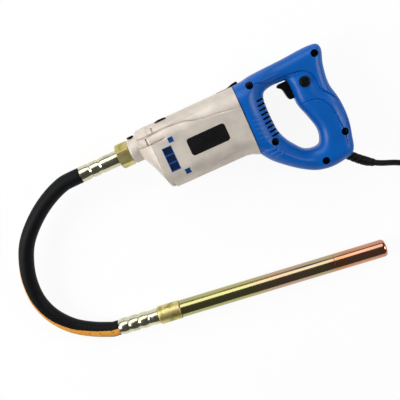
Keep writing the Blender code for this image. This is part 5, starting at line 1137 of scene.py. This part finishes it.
class VIBRATOR_OT_coupling(bpy.types.Operator):
    """Hexagonal nut, crimped upper ferrule and neck screw"""
    bl_idname = "vibrator.coupling"
    bl_label = "Coupling"

    def execute(self, context):
        rear = NOSE - PART_GAP
        front = rear - NUT_LENGTH
        centre = np.array((0, SPINDLE_Y, MID))
        t = np.linspace(0, 2 * math.pi, 240, endpoint=False)
        hexagon = NUT_FLAT / np.cos((t + math.pi / 6) % (math.pi / 3) - math.pi / 6)
        # Flats at one distance from the axis, cut by a 30 degree cone at both ends
        xs = np.array([front, front + 0.0002, front + 0.0006, front + 0.0012, front + 0.002,
                       (front + rear) / 2, rear - 0.002, rear - 0.0012, rear - 0.0006,
                       rear - 0.0002, rear])
        away = np.minimum(xs - front, rear - xs)
        cone = 0.0160 + away * 1.75
        radius = np.minimum(np.minimum(hexagon[None], cone[:, None]), 0.0179)
        turn = t + math.radians(8) + math.pi / 2
        outer = np.stack([np.broadcast_to(xs[:, None], radius.shape),
                          SPINDLE_Y + radius * np.cos(turn), MID + radius * np.sin(turn)], -1)
        bore = np.stack([np.full((2, len(t)), 0.0) + np.array([[rear], [front]]),
                         SPINDLE_Y + NUT_BORE * np.cos(turn) + np.zeros((2, 1)),
                         MID + NUT_BORE * np.sin(turn) + np.zeros((2, 1))], -1)
        piece("union_nut", surface(np.concatenate([outer, bore]), closed_u=True), "collar", "tool",
              "coupling_nut", sharp=20)
        end = front - PART_GAP
        start = end - FERRULE_LENGTH
        profile = [(start, FERRULE_BORE), (start, 0.0107), (start + 0.0008, FERRULE_RADIUS)]
        for place in CRIMPS:
            x = start + place + np.linspace(-CRIMP_HALF, CRIMP_HALF, 15)
            dip = CRIMP_DEPTH * (0.5 + 0.5 * np.cos(np.linspace(-math.pi, math.pi, 15)))
            profile += list(zip(x, FERRULE_RADIUS - dip))
        profile += [(end - 0.0006, FERRULE_RADIUS), (end, 0.0109), (end, FERRULE_BORE)]
        piece("crimped_ferrule", turned(profile, centre, steps=96, ring=True), "pale_zinc", "tool",
              "upper_ferrule", sharp=30)
        seat = 0.0178
        t = np.linspace(0, math.pi / 2, 8)
        dome = [(0.0150, 0.0019), (seat, 0.0019), (seat, 0.0050), (seat + 0.0020, 0.0050)]
        dome += [(seat + 0.0020 + 0.0009 * math.sin(a), 0.0041 + 0.0009 * math.cos(a)) for a in t]
        piece("neck_screw", turned(dome, (NOSE + 0.0069, SPINDLE_Y, MID), (0, 1, 0), 64),
              "black_steel", "tool", "neck_lock_screw")
        return {"FINISHED"}


def hose_path():
    """The hose's middle line, straight where it leaves each ferrule."""
    first = np.array((HOSE_START, SPINDLE_Y, MID))
    last = HEAD_START - HEAD_RUN * PART_GAP
    bend = (tuple(first - (HOSE_STRAIGHT, 0, 0)), *HOSE_ROUTE,
            tuple(last - HEAD_RUN * HOSE_STRAIGHT))
    return even(np.vstack([first, smooth_path(bend, 24), last]), 0.0016)


class VIBRATOR_OT_hose(bpy.types.Operator):
    """Cloth-finished hose with its printed stripe, bending from the coupling to the floor"""
    bl_idname = "vibrator.hose"
    bl_label = "Hose"

    def execute(self, context):
        settings = context.scene.vibrator_leads
        path = hose_path()
        run = run_of(path)
        lean = np.interp(run / run[-1], STRIPE_SHARE, np.radians(STRIPE_LEAN))
        steps = 72
        radius = np.full(len(path), settings.hose_diameter / 2)
        radius[0] = radius[-1] = settings.hose_diameter / 2 - 0.0006
        part = surface(swept(path, radius, steps, lean), ends=True)

        def uv(corner, mesh):
            column = corner % steps
            row = np.minimum(corner // steps, len(path) - 1)
            out = np.column_stack([run[row], column / steps])
            first = np.repeat(np.arange(len(mesh.polygons)), [p.loop_total for p in mesh.polygons])
            most = np.zeros(len(mesh.polygons))
            np.maximum.at(most, first, out[:, 1])
            seam = (most[first] > 0.9) & (out[:, 1] < 0.1)
            out[seam, 1] += 1
            return out

        hose = piece("rubber_hose", part, "hose", "tool", "hose", uv=uv)
        return {"FINISHED"}


class VIBRATOR_OT_poker(bpy.types.Operator):
    """Poker head: bulged lower ferrule, collar, tube and chamfered tip"""
    bl_idname = "vibrator.poker"
    bl_label = "Poker head"

    def execute(self, context):
        here, run = HEAD_START, HEAD_RUN
        x = np.linspace(0.0012, SLEEVE_END, 150)
        share = np.clip((x - 0.0010) / BULGE_LENGTH, 0, BULGES - 0.001)
        in_bulge = np.where(x < 0.0010 + BULGES * BULGE_LENGTH, share % 1, -1)
        swell = np.where(in_bulge >= 0, np.clip(np.sin(math.pi * np.clip(in_bulge / 0.92, 0, 1)),
                                                0, 1) ** 0.55, 0)
        r = np.where(in_bulge >= 0, 0.0109 + 0.0015 * swell,
                     0.0112 + 0.0006 * step_up(x, 0.050, 0.056))
        profile = [(0, 0.0091), (0, 0.0106)] + list(zip(x, r)) + [(SLEEVE_END, 0.0091)]
        piece("crimped_lower_ferrule", turned(profile, here, run, ring=True), "pale_zinc", "tool",
              "lower_ferrule", sharp=40)
        a, b = COLLAR_SPAN
        profile = softened([(a, 0.0060), (a, 0.0126), (a + 0.0012, 0.01375), (b - 0.0012, 0.01375),
                            (b, 0.0126), (b, 0.0060)], 0.0005)
        piece("poker_collar", turned(profile, here, run, ring=True), "collar", "tool",
              "head_collar")
        a, b = TUBE_SPAN
        middle = [(v, HEAD_RADIUS) for v in np.linspace(a + 0.0008, b - 0.0003, 30)]
        profile = [(a, 0.0103), (a, 0.0123)] + middle + [(b, 0.01275), (b, 0.0103)]
        piece("poker_tube", turned(profile, here, run, 128, ring=True), "poker", "tool",
              "head_tube")
        a, b = TIP_SPAN
        t = np.linspace(0, math.pi / 2, 9)
        nose = [(b - 0.0055 + 0.0055 * math.sin(u), 0.0072 + 0.0058 * math.cos(u) ** 0.8)
                for u in t]
        profile = [(a, 0.0060), (a, 0.01275), (a + 0.0003, HEAD_RADIUS)]
        profile += [(v, HEAD_RADIUS) for v in np.linspace(a + 0.003, b - 0.0070, 12)] + nose
        profile += [(b, 0.0040)]
        piece("poker_tip", turned(profile, here, run, 128), "poker", "tool", "head_tip")
        return {"FINISHED"}


# ---------------------------------------------------------------- mains lead

def coil_points(radius):
    """The lead from the boot to the plug: two layers of turns, R(t) and z(t) constant but for one
    sector of each turn, where every turn steps one diameter inwards (lower layer) or outwards
    (upper layer), and the innermost climbs round the one beside it."""
    d = 2 * radius
    outer = 5.5 * d + d
    rings = [outer, outer - d, outer - 2 * d]
    away = 5.5 * d + 1.5 * d + radius + 0.0003
    t = np.radians(np.arange(COIL_START, COIL_END + 0.1, 1.5))
    deg = np.degrees(t)
    r = np.full_like(t, away)
    z = np.full_like(t, radius)
    climb_end = CLIMB_START + COIL_STEP
    for start, a, b in ((COIL_START, away, rings[0]), (210, rings[0], rings[1]),
                        (570, rings[1], rings[2])):
        r = np.where(deg >= start, a + (b - a) * step_up(deg, start, start + COIL_STEP), r)
    climb = (deg >= CLIMB_START) & (deg < climb_end)
    rise = step_up(deg, CLIMB_START, climb_end)
    beside = rings[1] + (rings[2] - rings[1]) * rise
    r = np.where(climb, beside - d * np.cos(rise * math.pi / 2), r)
    z = np.where(climb, radius + d * np.sin(rise * math.pi / 2), z)
    z = np.where(deg >= climb_end, 3 * radius, z)
    r = np.where(deg >= climb_end, rings[2], r)
    for start, a, b in ((1215, rings[2], rings[1]), (1575, rings[1], rings[0])):
        r = np.where(deg >= start, a + (b - a) * step_up(deg, start, start + COIL_STEP), r)
    leave = deg >= LEAVE_START
    share = step_up(deg, LEAVE_START, COIL_END) * math.pi / 2
    r = np.where(leave, rings[0] + (away - rings[0]) * np.sin(share), r)
    z = np.where(leave, radius + d * np.cos(share), z)
    return np.stack([COIL_CENTRE[0] + r * np.cos(t), COIL_CENTRE[1] + r * np.sin(t), z], -1)


class VIBRATOR_OT_mains_lead(bpy.types.Operator):
    """Tapered boot, the lead down to the floor, its coil and the moulded plug"""
    bl_idname = "vibrator.mains_lead"
    bl_label = "Mains lead"

    def execute(self, context):
        settings = context.scene.vibrator_leads
        radius = settings.cord_diameter / 2
        boot_line = smooth_path(BOOT_ROUTE, 20)
        run = run_of(boot_line)
        share = run / run[-1]
        size = 0.0068 - 0.0002 * share - 0.0012 * step_up(share, 0.70, 1.0)
        size -= 0.0005 * (np.cos(share * 2 * math.pi * 7) > 0.55) * (share > 0.25)
        size[-1] -= 0.0005
        piece("strain_relief", surface(swept(boot_line, size, 48), ends=True), "cord", "tool",
              "cord_boot", sharp=35)
        coil = coil_points(radius)
        lead = smooth_path(np.vstack([BOOT_ROUTE[2:], CORD_ROUTE, coil[:12:6]]), 14)
        route = even(np.vstack([lead[:-1], coil[6:]]), 0.0030)
        heading = COIL_EXIT + math.pi / 2 - PLUG_SPLAY
        way = np.array((math.cos(heading), math.sin(heading), 0.0))
        leave = coil[-1]
        plug = piece("moulded_plug", plug_body(leave, way), "dull_black", "tool", "mains_plug",
                     sharp=45)
        side = frame_of(way)[1]
        for k, place in enumerate((-1, 1), 1):
            start = leave + way * 0.0355 + side * place * 0.0095
            profile = [(0, 0.0020), (0.0180, 0.0020), (0.0190, 0.0012)]
            piece(f"plug_pin_{k}", turned(softened(profile, 0.0004), start, way, 32),
                              "brass", "tool")
        cable = piece("mains_cable", surface(swept(route, radius, 20), ends=True), "cord", "tool",
                      ("power_cord", "cord_coil"), sharp=50)
        return {"FINISHED"}


def plug_body(start, way):
    """Superellipse sections |x/a|^n + |z/b|^n = 1 from the lead's collar to the pin face."""
    along, side, up = frame_of(way)
    rows = np.array(((0.000, 0.0050, 0.00425), (0.004, 0.0056, 0.00425), (0.010, 0.0068, 0.00425),
                     (0.013, 0.0076, 0.00425), (0.017, 0.0120, 0.00425), (0.022, 0.0136, 0.00425),
                     (0.034, 0.0168, 0.00425), (0.0355, 0.0166, 0.0040), (0.036, 0.0160, 0.0036)))
    dense = smooth_path(rows, 6)
    t = np.linspace(0, 2 * math.pi, 64, endpoint=False)
    n = 3.2
    cos, sin = np.cos(t), np.sin(t)
    a = np.sign(cos) * np.abs(cos) ** (2 / n)
    b = np.sign(sin) * np.abs(sin) ** (2 / n)
    ribs = 0.0003 * ((dense[:, 0] > 0.002) & (dense[:, 0] < 0.012)) * (np.sin(
        dense[:, 0] * 2 * math.pi / 0.0025) > 0)
    wide = dense[:, 1] - ribs
    tall = np.minimum(dense[:, 2], 0.00425)
    grid = (start + dense[:, 0, None, None] * along + wide[:, None, None] * a[None, :, None] * side
            + tall[:, None, None] * b[None, :, None] * up)
    return surface(grid, ends=True)


# ---------------------------------------------------------------- frame finishes and stage

class VIBRATOR_OT_frame_finish(bpy.types.Operator):
    """Gives every part of the frame the finish of its material slot"""
    bl_idname = "vibrator.frame_finish"
    bl_label = "Frame finishes"

    def execute(self, context):
        made = finishes(context.scene.vibrator_finish)
        for name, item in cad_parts.items():
            for slot in item.material_slots:
                key = slot.material.name.split(".")[0] if slot.material else ""
                if key not in SLOTS:
                    raise RuntimeError(f"{name} has a slot {key!r} without a finish")
                slot.material = made[SLOTS[key]]
        return {"FINISHED"}


FLOOR_GLOW, SKY_STRENGTH = 0.92, 0.08
# Lamps: name, place, width and height in metres, watts
LAMPS = (("key_softbox", (-0.3, 1.42, 1.25), (3.2, 1.4), 31),
         ("left_softbox", (-1.7, 0.2, 1.2), (0.9, 1.0), 26),
         ("right_softbox", (1.8, -0.3, 1.2), (0.8, 0.9), 17),
         ("low_strip", (0.0, -1.65, 0.30), (3.2, 0.5), 5))
LAMP_AIM = (0, -0.05, 0.04)
# The camera stands one metre back from this point, leaning from straight above along x and y.
# Half its view is this many metres wide there
CAMERA_AIM = (-0.04065, -0.0796, 0.044)
CAMERA_LEAN = (math.radians(5), math.radians(8))
CAMERA_UP = (0.4147, 0.91, 0)
HALF_VIEW = 0.284


class VIBRATOR_OT_stage(bpy.types.Operator):
    """Pale floor, soft studio lamps and the camera at the photograph's angle"""
    bl_idname = "vibrator.stage"
    bl_label = "Stage"

    def execute(self, context):
        scene = context.scene
        floor_colour = scene.vibrator_finish.floor
        made = bpy.data.materials.new("seamless_paper")
        made.use_nodes = True
        tree = made.node_tree
        tree.nodes.clear()
        rays = tree.nodes.new("ShaderNodeLightPath")
        paper = node(tree, "ShaderNodeBsdfDiffuse", Color=tuple(floor_colour))
        glow = node(tree, "ShaderNodeEmission", Color=(1, 1, 1, 1), Strength=1.0)
        seen = rays.outputs["Is Camera Ray"]
        for kind in ("Is Glossy Ray", "Is Transmission Ray"):
            seen = maths(tree, "MAXIMUM", seen, rays.outputs[kind])
        share = maths(tree, "MULTIPLY", seen, FLOOR_GLOW)
        mix = node(tree, "ShaderNodeMixShader", [("Fac", share)])
        tree.links.new(paper.outputs[0], mix.inputs[1])
        tree.links.new(glow.outputs[0], mix.inputs[2])
        out = tree.nodes.new("ShaderNodeOutputMaterial")
        tree.links.new(mix.outputs[0], out.inputs[0])
        mesh = bpy.data.meshes.new("studio_floor")
        half, z = 6.0, -0.0002
        mesh.from_pydata([(-half, -half, z), (half, -half, z), (half, half, z), (-half, half, z)],
                         [], [(0, 1, 2, 3)])
        floor = bpy.data.objects.new("studio_floor", mesh)
        mesh.materials.append(made)
        scene.collection.objects.link(floor)
        world = bpy.data.worlds.new("studio")
        scene.world = world
        world.use_nodes = True
        tree = world.node_tree
        tree.nodes.clear()
        sky = node(tree, "ShaderNodeBackground", Color=(1, 1, 1, 1), Strength=SKY_STRENGTH)
        white = node(tree, "ShaderNodeBackground", Color=(1, 1, 1, 1), Strength=1.0)
        rays = tree.nodes.new("ShaderNodeLightPath")
        mix = node(tree, "ShaderNodeMixShader", [("Fac", rays.outputs["Is Camera Ray"])])
        tree.links.new(sky.outputs[0], mix.inputs[1])
        tree.links.new(white.outputs[0], mix.inputs[2])
        out = tree.nodes.new("ShaderNodeOutputWorld")
        tree.links.new(mix.outputs[0], out.inputs[0])
        for name, place, size, power in LAMPS:
            data = bpy.data.lights.new(name, "AREA")
            data.shape, data.size, data.size_y, data.energy = "RECTANGLE", size[0], size[1], power
            lamp = bpy.data.objects.new(name, data)
            scene.collection.objects.link(lamp)
            lamp.location = place
            lamp.rotation_euler = (Vector(LAMP_AIM) - Vector(place)).to_track_quat(
                "-Z", "Y").to_euler()
        aim = Vector(CAMERA_AIM)
        back = Vector((*(math.tan(a) for a in CAMERA_LEAN), 1)).normalized()
        up = Vector(CAMERA_UP)
        up = (up - back * up.dot(back)).normalized()
        right = up.cross(back)
        data = bpy.data.cameras.new("camera")
        data.sensor_fit = "HORIZONTAL"
        data.angle = 2 * math.atan(HALF_VIEW)
        data.clip_end = 50
        camera = bpy.data.objects.new("camera", data)
        scene.collection.objects.link(camera)
        camera.matrix_world = Matrix((
            (right.x, up.x, back.x, aim.x + back.x), (right.y, up.y, back.y, aim.y + back.y),
            (right.z, up.z, back.z, aim.z + back.z), (0, 0, 0, 1)))
        scene.camera = camera
        scene.view_settings.view_transform = "Standard"
        return {"FINISHED"}


# ---------------------------------------------------------------- panel and registration

OPERATORS = (VIBRATOR_OT_frame_finish, VIBRATOR_OT_housing, VIBRATOR_OT_gearcase,
             VIBRATOR_OT_grilles, VIBRATOR_OT_handle, VIBRATOR_OT_controls, VIBRATOR_OT_coupling,
             VIBRATOR_OT_poker, VIBRATOR_OT_hose, VIBRATOR_OT_mains_lead, VIBRATOR_OT_stage)
GROUPS = {"vibrator_casting": CastingSettings, "vibrator_handle": HandleSettings,
          "vibrator_leads": LeadSettings, "vibrator_finish": FinishSettings}


class VIBRATOR_PT_panel(bpy.types.Panel):
    """Lists the sizes, the colours and the pieces"""
    bl_idname = "VIBRATOR_PT_panel"
    bl_label = "Concrete vibrator"
    bl_space_type = "VIEW_3D"
    bl_region_type = "UI"
    bl_category = "Vibrator"

    def draw(self, context):
        for group in GROUPS:
            box = self.layout.box()
            settings = getattr(context.scene, group)
            for key in settings.__annotations__:
                box.prop(settings, key)
        for kind in OPERATORS:
            self.layout.operator(kind.bl_idname)


def register():
    for kind in (*GROUPS.values(), *OPERATORS, VIBRATOR_PT_panel):
        bpy.utils.register_class(kind)
    for name, kind in GROUPS.items():
        setattr(bpy.types.Scene, name, bpy.props.PointerProperty(type=kind))


def unregister():
    for name in GROUPS:
        delattr(bpy.types.Scene, name)
    for kind in (VIBRATOR_PT_panel, *reversed(OPERATORS), *GROUPS.values()):
        bpy.utils.unregister_class(kind)


def main():
    register()
    for kind in OPERATORS:
        group, call = kind.bl_idname.split(".")
        getattr(getattr(bpy.ops, group), call)()


if __name__ == "__main__":
    main()
